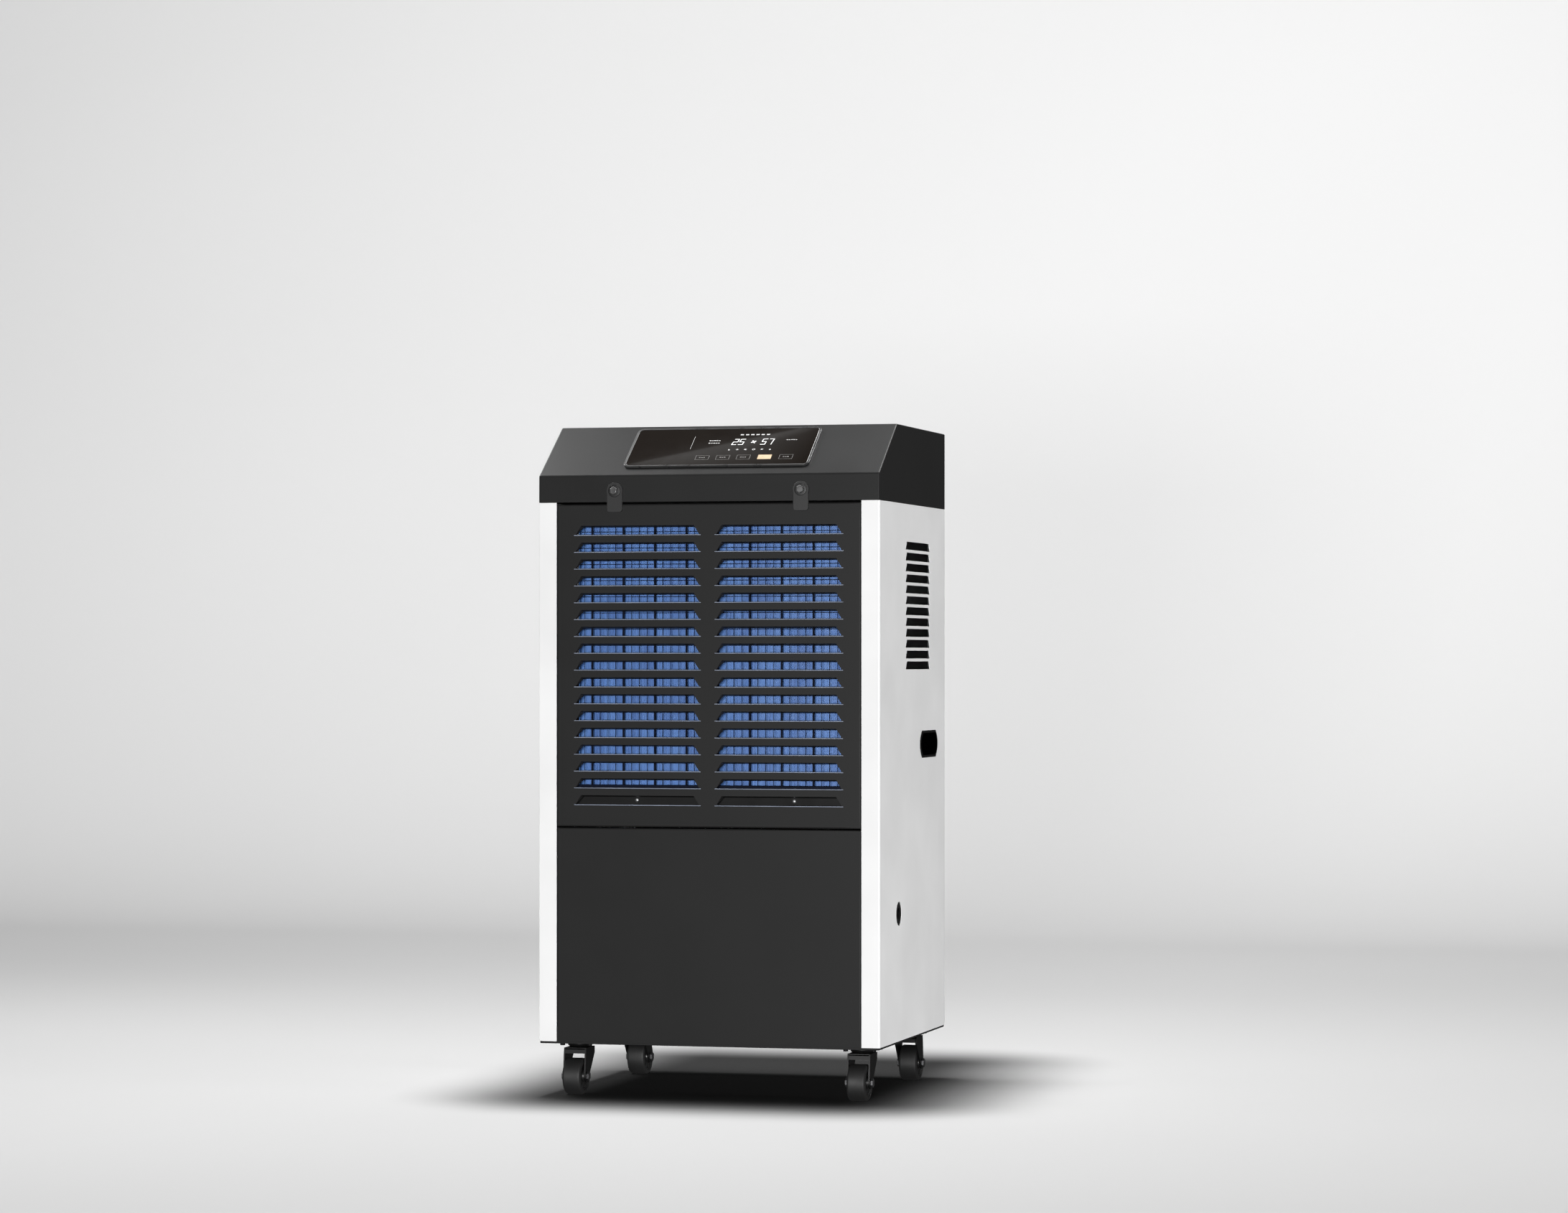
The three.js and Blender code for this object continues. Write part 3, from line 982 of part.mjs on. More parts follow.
addBasePan();
addMidDeck();
addSidePanels();
addHandleCups();
addIntakePanel();
addLowerPanel();
addRearPanel();
addCordGland();
addCover();
addControls();
addLatch('left', -LATCH_X);
addLatch('right', LATCH_X);
addFilter();
addCoils();
addDripTray();
addDrain();
addFan();
addFanGuard();
addCompressor();
addAccumulator();
addPipes();
addElectrics();
addCaster('front_left', -CASTER_X, -CASTER_Y, -1);
addCaster('front_right', CASTER_X, -CASTER_Y, -1);
addCaster('rear_left', -CASTER_X, CASTER_Y, 1);
addCaster('rear_right', CASTER_X, CASTER_Y, 1);

export default dehumidifier;
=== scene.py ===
"""The looks of a commercial dehumidifier on four casters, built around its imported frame.

Sizes are in metres. X runs to the right seen from the front, Y to the back, Z up.
"""

import math

import bmesh
import bpy
from mathutils import Matrix, Vector


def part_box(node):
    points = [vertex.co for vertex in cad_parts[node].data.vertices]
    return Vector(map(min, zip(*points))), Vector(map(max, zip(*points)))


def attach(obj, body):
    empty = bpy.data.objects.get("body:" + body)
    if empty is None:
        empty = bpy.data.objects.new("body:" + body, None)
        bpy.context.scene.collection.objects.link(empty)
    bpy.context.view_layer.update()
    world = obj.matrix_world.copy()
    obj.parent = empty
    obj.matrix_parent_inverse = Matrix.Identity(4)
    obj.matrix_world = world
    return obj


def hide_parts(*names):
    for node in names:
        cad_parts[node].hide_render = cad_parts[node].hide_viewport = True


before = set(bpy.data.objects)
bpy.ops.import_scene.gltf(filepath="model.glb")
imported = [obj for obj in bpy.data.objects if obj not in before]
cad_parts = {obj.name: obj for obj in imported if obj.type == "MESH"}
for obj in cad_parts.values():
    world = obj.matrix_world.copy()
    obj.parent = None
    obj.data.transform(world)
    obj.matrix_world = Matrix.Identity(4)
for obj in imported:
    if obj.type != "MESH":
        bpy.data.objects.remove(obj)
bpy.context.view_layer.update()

X = Vector((1, 0, 0))
Y = Vector((0, 1, 0))
Z = Vector((0, 0, 1))

# ------------------------------------------------------------------ sizes

MM = 0.001
SHEET = 1.2 * MM
CLEARANCE = 0.3 * MM
SOFT_EDGE = 0.25 * MM          # a cut edge under its paint
FOLD_RADIUS = 2.4 * MM

COVER_LOW, COVER_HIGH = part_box("top_cover")
SIDE = COVER_HIGH.x
FRONT = COVER_LOW.y
BACK = COVER_HIGH.y
SLOPE_RUN = 107 * MM
SLOPE_RISE = 71 * MM
SLOPE_ANGLE = math.atan2(SLOPE_RISE, SLOPE_RUN)
LIP_TOP = COVER_HIGH.z - SLOPE_RISE

LOUVRE_ROWS = 17
LOUVRE_PITCH = 23.03 * MM
LOUVRE_HEIGHT = 12.7 * MM
LOUVRE_TOP_MARGIN = 29.4 * MM
LOUVRE_EDGE_MARGIN = 26.8 * MM
LOUVRE_MULLION = 23.6 * MM
LOUVRE_TAPER = 8 * MM
FLAP_ANGLE = math.radians(80)
LIP_OVERRUN = 2 * MM           # the rolled lip runs past the opening's ends
LIP_RADIUS = 0.6 * MM
RETURN_DEPTH = 15 * MM

HANDLE_LENGTH = 110 * MM
HANDLE_FLAT = 85 * MM
HANDLE_HEIGHT = 38 * MM

FIN_PITCH = 2.1 * MM
FIN_THICKNESS = 0.7 * MM
FIN_GROOVE = 1.8 * MM          # how deep the gaps between fins stay open
TUBE_RADIUS = 4 * MM
TUBE_ROWS = 14
TUBE_APART = 11 * MM           # from the coil's middle to each of its two rows of tubes
END_PLATE = 1.5 * MM
COIL_MARGIN = 50 * MM          # from the cabinet's side to the coil's fins

FILTER_RIB_PITCH = 44.7 * MM
FILTER_RIB_SHIFT = 9 * MM
FILTER_BORDER = 8 * MM
NET_PITCH_X = FILTER_RIB_PITCH / 4
NET_PITCH_Z = 22.2 * MM
NET_STRAND_Z = 751.8 * MM      # one strand's height, which the rest are counted from

WHEEL_RADIUS = 25 * MM
WHEEL_WIDTH = 26 * MM
CASTER_TRAIL = 20 * MM

HUB_RADIUS = 46 * MM           # of the fan, and of the plate in the guard's middle
BLADES = 5
GUARD_WIRES = 11
SHROUD_RING = 150 * MM
SHROUD_FLARE = 20 * MM
SHROUD_WALL = 1.5 * MM
SHROUD_SCREWS = 204 * MM       # from the fan's axis

COMPRESSOR_AT = Vector((45 * MM, 30 * MM, 0))
COMPRESSOR_RADIUS = 58 * MM
FOOT_REACH = 84 * MM           # from the compressor's axis to each of its feet
FOOT_PAD = 16 * MM
ACCUMULATOR_AT = Vector((141 * MM, 30 * MM, 0))
ACCUMULATOR_RADIUS = 26 * MM
ACCUMULATOR_HEIGHT = 140 * MM
ACCUMULATOR_DOME = 16 * MM

# ------------------------------------------------------------------ camera, first of all

CAMERA_PLACE = (1.62725, -6.13377, 0.60299)
CAMERA_TURN = 0.251            # radians round Z from looking straight back


def add_camera():
    data = bpy.data.cameras.new("camera")
    data.sensor_width = 36
    data.lens = 103.91
    data.shift_y = 0.0321
    camera = bpy.data.objects.new("camera", data)
    camera.location = CAMERA_PLACE
    camera.rotation_euler = (math.pi / 2, 0, CAMERA_TURN)
    bpy.context.scene.collection.objects.link(camera)
    bpy.context.scene.camera = camera


add_camera()

# ------------------------------------------------------------------ material helpers


class Finish:
    """A node-based material with a few short ways of adding to it."""

    def __init__(self, name):
        self.material = bpy.data.materials.new(name)
        self.material.use_nodes = True
        self.nodes = self.material.node_tree.nodes
        self.links = self.material.node_tree.links
        self.shader = self.nodes["Principled BSDF"]
        self.place = self.nodes.new("ShaderNodeTexCoord").outputs["Object"]

    def set(self, **values):
        """Constant values straight on the shader's sockets, with _ for a blank in their names."""
        for name, value in values.items():
            socket = self.shader.inputs[name.replace("_", " ")]
            socket.default_value = (*value, 1) if isinstance(value, tuple) else value
        return self

    def stretched(self, scale):
        """Object coordinates stretched by a different amount along each axis."""
        mapping = self.nodes.new("ShaderNodeMapping")
        mapping.inputs["Scale"].default_value = scale
        self.links.new(self.place, mapping.inputs["Vector"])
        return mapping.outputs["Vector"]

    def noise(self, scale, detail=2, roughness=0.5, vector=None):
        texture = self.nodes.new("ShaderNodeTexNoise")
        texture.inputs["Scale"].default_value = scale
        texture.inputs["Detail"].default_value = detail
        texture.inputs["Roughness"].default_value = roughness
        self.links.new(vector or self.place, texture.inputs["Vector"])
        return texture.outputs["Fac"]

    def cells(self, scale):
        texture = self.nodes.new("ShaderNodeTexVoronoi")
        texture.inputs["Scale"].default_value = scale
        self.links.new(self.place, texture.inputs["Vector"])
        return texture.outputs["Distance"]

    def between(self, factor, low, high, start=0.3, stop=0.7, easing="LINEAR"):
        """A number that goes from low to high as the factor goes from start to stop."""
        ramp = self.nodes.new("ShaderNodeMapRange")
        ramp.interpolation_type = easing
        for name, value in (("From Min", start), ("From Max", stop), ("To Min", low), ("To Max", high)):
            ramp.inputs[name].default_value = value
        self.links.new(factor, ramp.inputs["Value"])
        return ramp.outputs["Result"]

    def colours(self, factor, first, second, start=0.3, stop=0.7):
        ramp = self.nodes.new("ShaderNodeValToRGB")
        ramp.color_ramp.elements[0].position = start
        ramp.color_ramp.elements[1].position = stop
        ramp.color_ramp.elements[0].color = (*first, 1)
        ramp.color_ramp.elements[1].color = (*second, 1)
        self.links.new(factor, ramp.inputs["Fac"])
        self.links.new(ramp.outputs["Color"], self.shader.inputs["Base Color"])
        return self

    def rough(self, factor, low, high):
        self.links.new(self.between(factor, low, high), self.shader.inputs["Roughness"])
        return self

    def bump(self, height, strength, distance):
        node = self.nodes.new("ShaderNodeBump")
        node.inputs["Strength"].default_value = strength
        node.inputs["Distance"].default_value = distance
        self.links.new(height, node.inputs["Height"])
        self.links.new(node.outputs["Normal"], self.shader.inputs["Normal"])
        return self


def shade(colour, factor):
    return tuple(channel * factor for channel in colour)


def powder_coat(name, colour, roughness, texture, gloss=0.5):
    """Baked powder paint: a fine orange peel, with slow changes of tone and gloss."""
    finish = Finish(name).set(Specular_IOR_Level=gloss)
    slow = finish.noise(7, detail=3)
    finish.colours(slow, shade(colour, 0.95), shade(colour, 1.05))
    finish.rough(finish.noise(14, detail=2), roughness - 0.02, roughness + 0.02)
    return finish.bump(finish.noise(900, detail=2), texture, 0.2 * MM).material


def brushed_metal(name, colour, roughness, metallic=1.0):
    """Drawn or plated metal with a faint grain along the piece and cloudy patches."""
    finish = Finish(name).set(Metallic=metallic)
    grain = finish.noise(160, detail=4, vector=finish.stretched((1, 8, 1)))
    finish.colours(finish.noise(35, detail=4), shade(colour, 0.8), shade(colour, 1.15))
    finish.rough(grain, roughness - 0.08, roughness + 0.1)
    return finish.bump(grain, 0.12, 0.1 * MM).material


def moulded(name, colour, roughness, grain, gloss=0.5):
    """Moulded plastic or rubber with a spark-eroded grain."""
    finish = Finish(name).set(Specular_IOR_Level=gloss)
    finish.colours(finish.noise(12, detail=2), shade(colour, 0.88), shade(colour, 1.12))
    finish.rough(finish.noise(60, detail=3), roughness - 0.06, roughness + 0.08)
    return finish.bump(finish.cells(1400), grain, 0.15 * MM).material


def fin_metal(name, low_colour, high_colour, metallic, roughness):
    """Thin rolled fin stock: its tone wanders from fin to fin and down the coil."""
    finish = Finish(name).set(Metallic=metallic)
    tone = finish.noise(9, detail=4, vector=finish.stretched((6, 1, 1)))
    finish.colours(tone, low_colour, high_colour, 0.35, 0.65)
    finish.rough(finish.noise(120, detail=3), roughness - 0.06, roughness + 0.1)
    streaks = finish.noise(500, detail=2, vector=finish.stretched((1, 1, 0.2)))
    return finish.bump(streaks, 0.1, 0.1 * MM).material


def copper_tube(name):
    """Drawn copper that has dulled unevenly."""
    finish = Finish(name).set(Metallic=1.0)
    finish.colours(finish.noise(45, detail=5, roughness=0.65), (0.62, 0.25, 0.13), (0.36, 0.13, 0.07))
    finish.rough(finish.noise(80, detail=4), 0.22, 0.42)
    return finish.bump(finish.noise(300, detail=2), 0.08, 0.1 * MM).material


def touch_glass(name):
    """Back-printed black glass, very faintly uneven in its gloss."""
    finish = Finish(name).set(Coat_Weight=1.0, Coat_Roughness=0.02, IOR=1.5)
    finish.colours(finish.noise(20, detail=2), (0.0068, 0.0045, 0.0030), (0.0080, 0.0055, 0.0038))
    finish.rough(finish.noise(50, detail=2), 0.04, 0.08)
    return finish.material


def milky_vinyl(name):
    finish = Finish(name).set(Transmission_Weight=0.35, IOR=1.45)
    finish.colours(finish.noise(30, detail=3), (0.52, 0.54, 0.52), (0.64, 0.66, 0.64))
    finish.rough(finish.noise(60, detail=2), 0.28, 0.4)
    return finish.bump(finish.noise(200, detail=2), 0.1, 0.2 * MM).material


def lacquered_board(name):
    """Green circuit laminate with the pattern of its tracks showing through the lacquer."""
    finish = Finish(name).set(Coat_Weight=0.4)
    tracks = finish.noise(260, detail=1, vector=finish.stretched((1, 1, 3)))
    finish.colours(tracks, (0.010, 0.075, 0.028), (0.020, 0.140, 0.050), 0.46, 0.54)
    finish.rough(finish.noise(90, detail=2), 0.3, 0.45)
    return finish.bump(tracks, 0.15, 0.1 * MM).material


def printed(name, colour, glow):
    """Print on or lamps under the glass: slightly uneven ink, lit from behind."""
    finish = Finish(name).set(Emission_Color=colour, Emission_Strength=glow)
    finish.colours(finish.noise(700, detail=2), shade(colour, 0.8), colour)
    return finish.rough(finish.noise(200), 0.25, 0.4).material


CHARCOAL = powder_coat("charcoal_coat", (0.0160, 0.0160, 0.0160), 0.42, 0.05, gloss=0.09)
TAB_COAT = powder_coat("latch_coat", (0.0230, 0.0230, 0.0230), 0.42, 0.05, gloss=0.2)
WHITE = powder_coat("white_coat", (0.80, 0.80, 0.80), 0.5, 0.04, gloss=0.12)
ENAMEL = powder_coat("black_enamel", (0.004, 0.004, 0.004), 0.42, 0.03, gloss=0.3)
ZINC = brushed_metal("zinc_plate", (0.46, 0.47, 0.48), 0.38, metallic=0.9)
DARK_STEEL = brushed_metal("blackened_steel", (0.075, 0.075, 0.078), 0.36, metallic=0.7)
BOLT_STEEL = brushed_metal("bolt_steel", (0.09, 0.09, 0.09), 0.34, metallic=0.7)
# painted highlight: a lighter coat than the panel's, for the bright line along each louvre's foot
LIP_HIGHLIGHT = brushed_metal("lip_painted_highlight", (0.24, 0.27, 0.34), 0.45, metallic=0.1)
PLASTIC = moulded("black_plastic", (0.008, 0.008, 0.008), 0.45, 0.10, gloss=0.08)
HUB_PLASTIC = moulded("wheel_hub_plastic", (0.014, 0.014, 0.014), 0.38, 0.08)
NET = moulded("filter_net", (0.003, 0.005, 0.014), 0.5, 0.05, gloss=0.05)
BEZEL = moulded("bezel_plastic", (0.030, 0.030, 0.030), 0.30, 0.03)
TREAD = moulded("tyre_rubber", (0.012, 0.012, 0.012), 0.55, 0.22)
RUBBER = moulded("foot_rubber", (0.020, 0.020, 0.020), 0.70, 0.25)
COMPONENT = moulded("component_plastic", (0.022, 0.022, 0.024), 0.4, 0.08)
RELAY = moulded("relay_blue", (0.020, 0.060, 0.200), 0.35, 0.05)
WINDING = moulded("winding_tape", (0.450, 0.300, 0.040), 0.4, 0.05)
BLUE_FIN = fin_metal("blue_fin", (0.035, 0.125, 0.380), (0.070, 0.195, 0.500), 0.0, 0.42)
PLAIN_FIN = fin_metal("aluminium_fin", (0.50, 0.51, 0.52), (0.66, 0.67, 0.68), 0.9, 0.35)
COPPER = copper_tube("copper_tube")
GLASS = touch_glass("touch_glass")
VINYL = milky_vinyl("milky_vinyl")
BOARD = lacquered_board("circuit_laminate")
PRINT = printed("white_print", (0.62, 0.62, 0.62), 0.06)
FAINT_PRINT = printed("faint_print", (0.16, 0.155, 0.15), 0.02)
LAMP = printed("display_lamps", (0.90, 0.90, 0.90), 0.40)
GOLD = printed("selected_key", (0.62, 0.46, 0.30), 0.16)

# ------------------------------------------------------------------ mesh helpers

MERGE = 0.01 * MM
NEAR = 0.05 * MM


def in_mm(*points):
    return [tuple(value * MM for value in point) for point in points]


def quarter_turn(steps):
    """Angles from nothing to a right angle."""
    return [math.pi / 2 * i / steps for i in range(steps + 1)]


def foot_of(low, high):
    """The middle of a box's underside."""
    return Vector(((low.x + high.x) / 2, (low.y + high.y) / 2, low.z))


def verts_of(geometry):
    return [item for item in geometry if isinstance(item, bmesh.types.BMVert)]


def add_box(bm, x, y, z):
    """A box between two places along each axis."""
    size = Matrix.Diagonal((x[1] - x[0], y[1] - y[0], z[1] - z[0], 1))
    middle = Matrix.Translation(((x[0] + x[1]) / 2, (y[0] + y[1]) / 2, (z[0] + z[1]) / 2))
    return bmesh.ops.create_cube(bm, size=1, matrix=middle @ size)["verts"]


def add_rod(bm, start, end, radius, sides=24, end_radius=None):
    """A round, hexagonal or tapered bar from one point to another."""
    start, end = Vector(start), Vector(end)
    along = end - start
    place = Matrix.Translation((start + end) / 2) @ along.to_track_quat("Z", "Y").to_matrix().to_4x4()
    far = radius if end_radius is None else end_radius
    made = bmesh.ops.create_cone(bm, cap_ends=True, segments=sides, radius1=radius, radius2=far,
                                 depth=along.length, matrix=place)
    return made["verts"]


def add_turned(bm, outline, centre, axis, steps=48, closed=False):
    """Spins an outline of (radius, distance along the axis) points once round the axis."""
    centre = Vector(centre)
    side = axis.orthogonal().normalized()
    verts = [bm.verts.new(centre + side * radius + axis * along) for radius, along in outline]
    edges = [bm.edges.new(pair) for pair in zip(verts, verts[1:])]
    if closed:
        edges.append(bm.edges.new((verts[-1], verts[0])))
    bmesh.ops.spin(bm, geom=verts + edges, cent=centre, axis=axis, angle=2 * math.pi, steps=steps,
                   use_merge=True)


def add_ring(bm, centre, axis, radius, wire, steps=64, sides=8):
    """A round wire bent into a ring."""
    turns = [2 * math.pi * i / sides for i in range(sides)]
    outline = [(radius + wire * math.cos(turn), wire * math.sin(turn)) for turn in turns]
    add_turned(bm, outline, centre, axis, steps, closed=True)


def add_slab(bm, points, thickness):
    """A flat outline pulled out along a vector."""
    face = bm.faces.new([bm.verts.new(point) for point in points])
    grown = bmesh.ops.extrude_face_region(bm, geom=[face])["geom"]
    bmesh.ops.translate(bm, verts=verts_of(grown), vec=thickness)


def soften(bm, edges, width, segments=2):
    bmesh.ops.bevel(bm, geom=edges, offset=width, offset_type="OFFSET", segments=segments,
                    profile=0.5, affect="EDGES", clamp_overlap=True, material=-1)


def sharp_edges(bm, degrees=30):
    return [e for e in bm.edges if e.is_manifold and e.calc_face_angle() > math.radians(degrees)]


def cad_copy(node):
    """A copy of a CAD node with its triangles merged into whole flat faces."""
    bm = bmesh.new()
    bm.from_mesh(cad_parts[node].data)
    bmesh.ops.remove_doubles(bm, verts=bm.verts, dist=MERGE)
    bmesh.ops.dissolve_limit(bm, angle_limit=math.radians(1), verts=bm.verts, edges=bm.edges)
    return bm


def round_folds(bm, planes, radius=FOLD_RADIUS, segments=4):
    """Rounds the edges where two of these outside planes meet. A plane is (normal, distance)."""
    folds = []
    for edge in bm.edges:
        on = [all(abs(v.co.dot(normal) - far) < NEAR for v in edge.verts) for normal, far in planes]
        if sum(on) > 1:
            folds.append(edge)
    soften(bm, folds, radius, segments)


def object_from(name, bm, material):
    """A smooth-shaded object in the scene, made from a mesh under construction."""
    mesh = bpy.data.meshes.new(name)
    bm.to_mesh(mesh)
    bm.free()
    mesh.materials.append(material)
    mesh.shade_smooth()
    piece = bpy.data.objects.new(name, mesh)
    bpy.context.scene.collection.objects.link(piece)
    return piece


def finish_piece(name, bm, material, body="cabinet", stands_for=(), edge=0.0, wall=0.0):
    """Makes the mesh a piece that rides on a body, with rounded edges and even shading."""
    bmesh.ops.remove_doubles(bm, verts=bm.verts, dist=MERGE / 10)
    bmesh.ops.recalc_face_normals(bm, faces=bm.faces)
    piece = object_from(name, bm, material)
    piece.data.set_sharp_from_angle(angle=math.radians(38))
    if wall:
        solid = piece.modifiers.new("wall", "SOLIDIFY")
        solid.thickness = wall
        solid.offset = -1
    if edge:
        bevel = piece.modifiers.new("edges", "BEVEL")
        bevel.width = edge
        bevel.segments = 2
        bevel.limit_method = "ANGLE"
        bevel.angle_limit = math.radians(38)
    even = piece.modifiers.new("even_shading", "WEIGHTED_NORMAL")
    even.keep_sharp = True
    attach(piece, body)
    if stands_for:
        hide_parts(*([stands_for] if isinstance(stands_for, str) else stands_for))


def softened_node(node, name, material, body="cabinet", edge=SOFT_EDGE, planes=(),
                  fold=FOLD_RADIUS):
    """The CAD piece with its folds and cut edges rounded."""
    bm = cad_copy(node)
    if planes:
        round_folds(bm, planes, fold)
    finish_piece(name, bm, material, body, node, edge=edge)


def smooth_tube(node, name, material, swell=0.4 * MM):
    """A bent CAD tube made round: its sides are subdivided, and its ends stay flat."""
    bm = bmesh.new()
    bm.from_mesh(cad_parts[node].data)
    bmesh.ops.remove_doubles(bm, verts=bm.verts, dist=MERGE)
    bmesh.ops.join_triangles(bm, faces=bm.faces, angle_face_threshold=math.radians(25),
                             angle_shape_threshold=math.radians(60))
    crease = bm.edges.layers.float.new("crease_edge")
    ends = sharp_edges(bm, 60)
    for edge in ends:
        edge[crease] = 1.0
    flat = {v for e in ends for v in e.verts}
    bm.normal_update()
    for vert in bm.verts:
        if vert not in flat:
            vert.co += vert.normal * swell
    piece = object_from(name, bm, material)
    smooth = piece.modifiers.new("round", "SUBSURF")
    smooth.levels = 2
    smooth.render_levels = 2
    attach(piece, "cabinet")
    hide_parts(node)


# ------------------------------------------------------------------ front panels


def sheet_of_rows(bm, low, stations, levels):
    """A flat upright sheet: a row of edges through the stations, pulled up from level to level.
    A level is (height, taper): a taper makes the openings below it, narrower at their tops."""
    row = [bm.verts.new((x, low.y, low.z)) for x in stations]
    chain = [bm.edges.new(pair) for pair in zip(row, row[1:])]
    openings = []
    for height, taper in levels:
        grown = bmesh.ops.extrude_edge_only(bm, edges=chain)["geom"]
        row = sorted(verts_of(grown), key=lambda v: v.co.x)
        for i, (vert, x) in enumerate(zip(row, stations)):
            inner = 0 < i < len(stations) - 1
            lean = taper * (1 if i % 2 else -1) if inner else 0
            vert.co = (x + lean, low.y, height)
        chain = [bm.edges.get(pair) for pair in zip(row, row[1:])]
        if taper:
            faces = [g for g in grown if isinstance(g, bmesh.types.BMFace)]
            faces.sort(key=lambda face: face.calc_center_median().x)
            openings += faces[1::2]
    return openings


def press_louvres(bm, openings):
    """Cuts each opening along its foot and bends the metal in about its narrow top edge."""
    inward = Vector((0, LOUVRE_HEIGHT * math.sin(FLAP_ANGLE), -LOUVRE_HEIGHT * math.cos(FLAP_ANGLE)))
    creases = []
    for face in openings:
        by_height = sorted(face.edges, key=lambda e: e.verts[0].co.z + e.verts[1].co.z)
        foot, root = by_height[0], by_height[-1]
        feet = sorted(foot.verts, key=lambda v: v.co.x)
        roots = sorted(root.verts, key=lambda v: v.co.x)
        flap = bmesh.ops.extrude_edge_only(bm, edges=[root])["geom"]
        tips = sorted(verts_of(flap), key=lambda v: v.co.x)
        bmesh.ops.translate(bm, verts=tips, vec=inward)
        for bottom, top, tip in zip(feet, roots, tips):
            bm.faces.new((bottom, top, tip))
            creases.append(bm.edges.get((bottom, top)))
        creases.append(root)
    bmesh.ops.delete(bm, geom=openings, context="FACES_ONLY")
    return creases


def fold_back(bm, edges, depth):
    """Folds the sheet's edges back, with a round bend."""
    grown = bmesh.ops.extrude_edge_only(bm, edges=edges)["geom"]
    bmesh.ops.translate(bm, verts=verts_of(grown), vec=Y * depth)
    soften(bm, edges, FOLD_RADIUS, 5)


def louvre_columns(half):
    inner, outer = LOUVRE_MULLION / 2, half - LOUVRE_EDGE_MARGIN
    return [(-outer, -inner), (inner, outer)]


def intake_panel():
    low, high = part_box("front_intake_panel")
    columns = louvre_columns(high.x)
    stations = [low.x, *columns[0], *columns[1], high.x]
    tops = [high.z - LOUVRE_TOP_MARGIN - row * LOUVRE_PITCH for row in reversed(range(LOUVRE_ROWS))]
    levels = []
    for top in tops:
        levels += [(top - LOUVRE_HEIGHT, 0), (top, LOUVRE_TAPER)]
    levels.append((high.z, 0))
    bm = bmesh.new()
    press_louvres(bm, sheet_of_rows(bm, low, stations, levels))
    rim = [e for e in bm.edges if e.is_boundary and any(
        all(abs(v.co[axis] - place) < NEAR for v in e.verts)
        for axis, place in ((0, low.x), (0, high.x), (2, low.z), (2, high.z)))]
    fold_back(bm, rim, RETURN_DEPTH)
    finish_piece("intake_panel_sheet", bm, CHARCOAL, "cabinet", "front_intake_panel",
                 edge=0.2 * MM, wall=SHEET)

    # The rolled lips under the openings wear that lighter coat, a painted highlight along each opening's
    # foot.
    lips = bmesh.new()
    for left, right in columns:
        for top in tops:
            foot = top - LOUVRE_HEIGHT
            add_rod(lips, (left - LIP_OVERRUN, low.y, foot - LIP_RADIUS * 0.6),
                    (right + LIP_OVERRUN, low.y, foot - LIP_RADIUS * 0.6), LIP_RADIUS, sides=10)
    finish_piece("louvre_lips", lips, LIP_HIGHLIGHT, edge=0.15 * MM)


def lower_panel():
    low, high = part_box("front_lower_panel")
    return_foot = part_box("base_pan")[1].z + 2 * MM
    bm = bmesh.new()
    sheet_of_rows(bm, low, [low.x, high.x], [(return_foot, 0), (high.z, 0)])
    rim = [e for e in bm.edges if e.is_boundary and min(v.co.z for v in e.verts) > return_foot - NEAR]
    fold_back(bm, rim, RETURN_DEPTH)
    finish_piece("lower_panel_sheet", bm, CHARCOAL, "cabinet", "front_lower_panel",
                 edge=0.2 * MM, wall=SHEET)


# ------------------------------------------------------------------ side panels and handles


def side_panels():
    for side, sign in (("right", 1), ("left", -1)):
        planes = [(X * sign, SIDE), (-Y, -FRONT), (Y, BACK)]
        softened_node(f"{side}_side_panel", f"{side}_panel_sheet", WHITE, planes=planes)


def handle_outline(inset, drop=0.0, steps=9):
    """Points round the handle, in Y and Z: straight top and bottom with bulging ends."""
    length, flat, half = (size / 2 - inset for size in (HANDLE_LENGTH, HANDLE_FLAT, HANDLE_HEIGHT))
    points = []
    for end in (1, -1):
        for i in range(steps):
            t = i / (steps - 1)
            bulge = (1 - t) ** 2 * flat + 2 * t * (1 - t) * (2 * length - flat) + t * t * flat
            points.append((end * bulge, end * half * (2 * t - 1) - drop))
    return points


def handle_cup(side, sign):
    """A moulded cup let into the side: a rounded rim, sloping walls and a shallow floor."""
    low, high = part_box(f"{side}_handle_cup")
    middle_y, middle_z = (low.y + high.y) / 2, (low.z + high.z) / 2
    depth = high.x - low.x
    face = depth - 0.2 * MM
    rings = [(0.0, 4.5, 0), (depth - 1.4 * MM, 4.0, 0), (depth - 1.0 * MM, 4.0, 0),
             (depth - 1.0 * MM, 0.1, 0), (face - 0.2 * MM, 0.0, 0), (depth, 0.7, 0), (depth, 3.4, 0),
             (face - 0.5 * MM, 4.4, 0), (face - 3 * MM, 5.2, 0), (depth - 14 * MM, 8.0, 1.5),
             (2.6 * MM, 11.5, 3.5), (2.0 * MM, 13.0, 3.5)]
    bm = bmesh.new()
    loops = []
    for along, inset, drop in rings:
        x = sign * (SIDE + 1.3 * MM - depth + along)
        points = handle_outline(inset * MM, drop * MM)
        verts = [bm.verts.new((x, middle_y + y, middle_z + z)) for y, z in points]
        loops.append([bm.edges.new((a, b)) for a, b in zip(verts, verts[1:] + verts[:1])])
    for one, other in zip(loops, loops[1:]):
        bmesh.ops.bridge_loops(bm, edges=one + other)
    for loop in (loops[0], loops[-1]):
        bmesh.ops.contextual_create(bm, geom=loop)
    finish_piece(f"{side}_handle_moulding", bm, PLASTIC, "cabinet", f"{side}_handle_cup")


# ------------------------------------------------------------------ cover


SLOPE_NORMAL = Vector((0, -math.sin(SLOPE_ANGLE), math.cos(SLOPE_ANGLE)))
SLOPE_POINT = Vector((0, FRONT, LIP_TOP))
ON_SLOPE = Matrix.Translation(SLOPE_POINT) @ Matrix.Rotation(SLOPE_ANGLE, 4, "X")


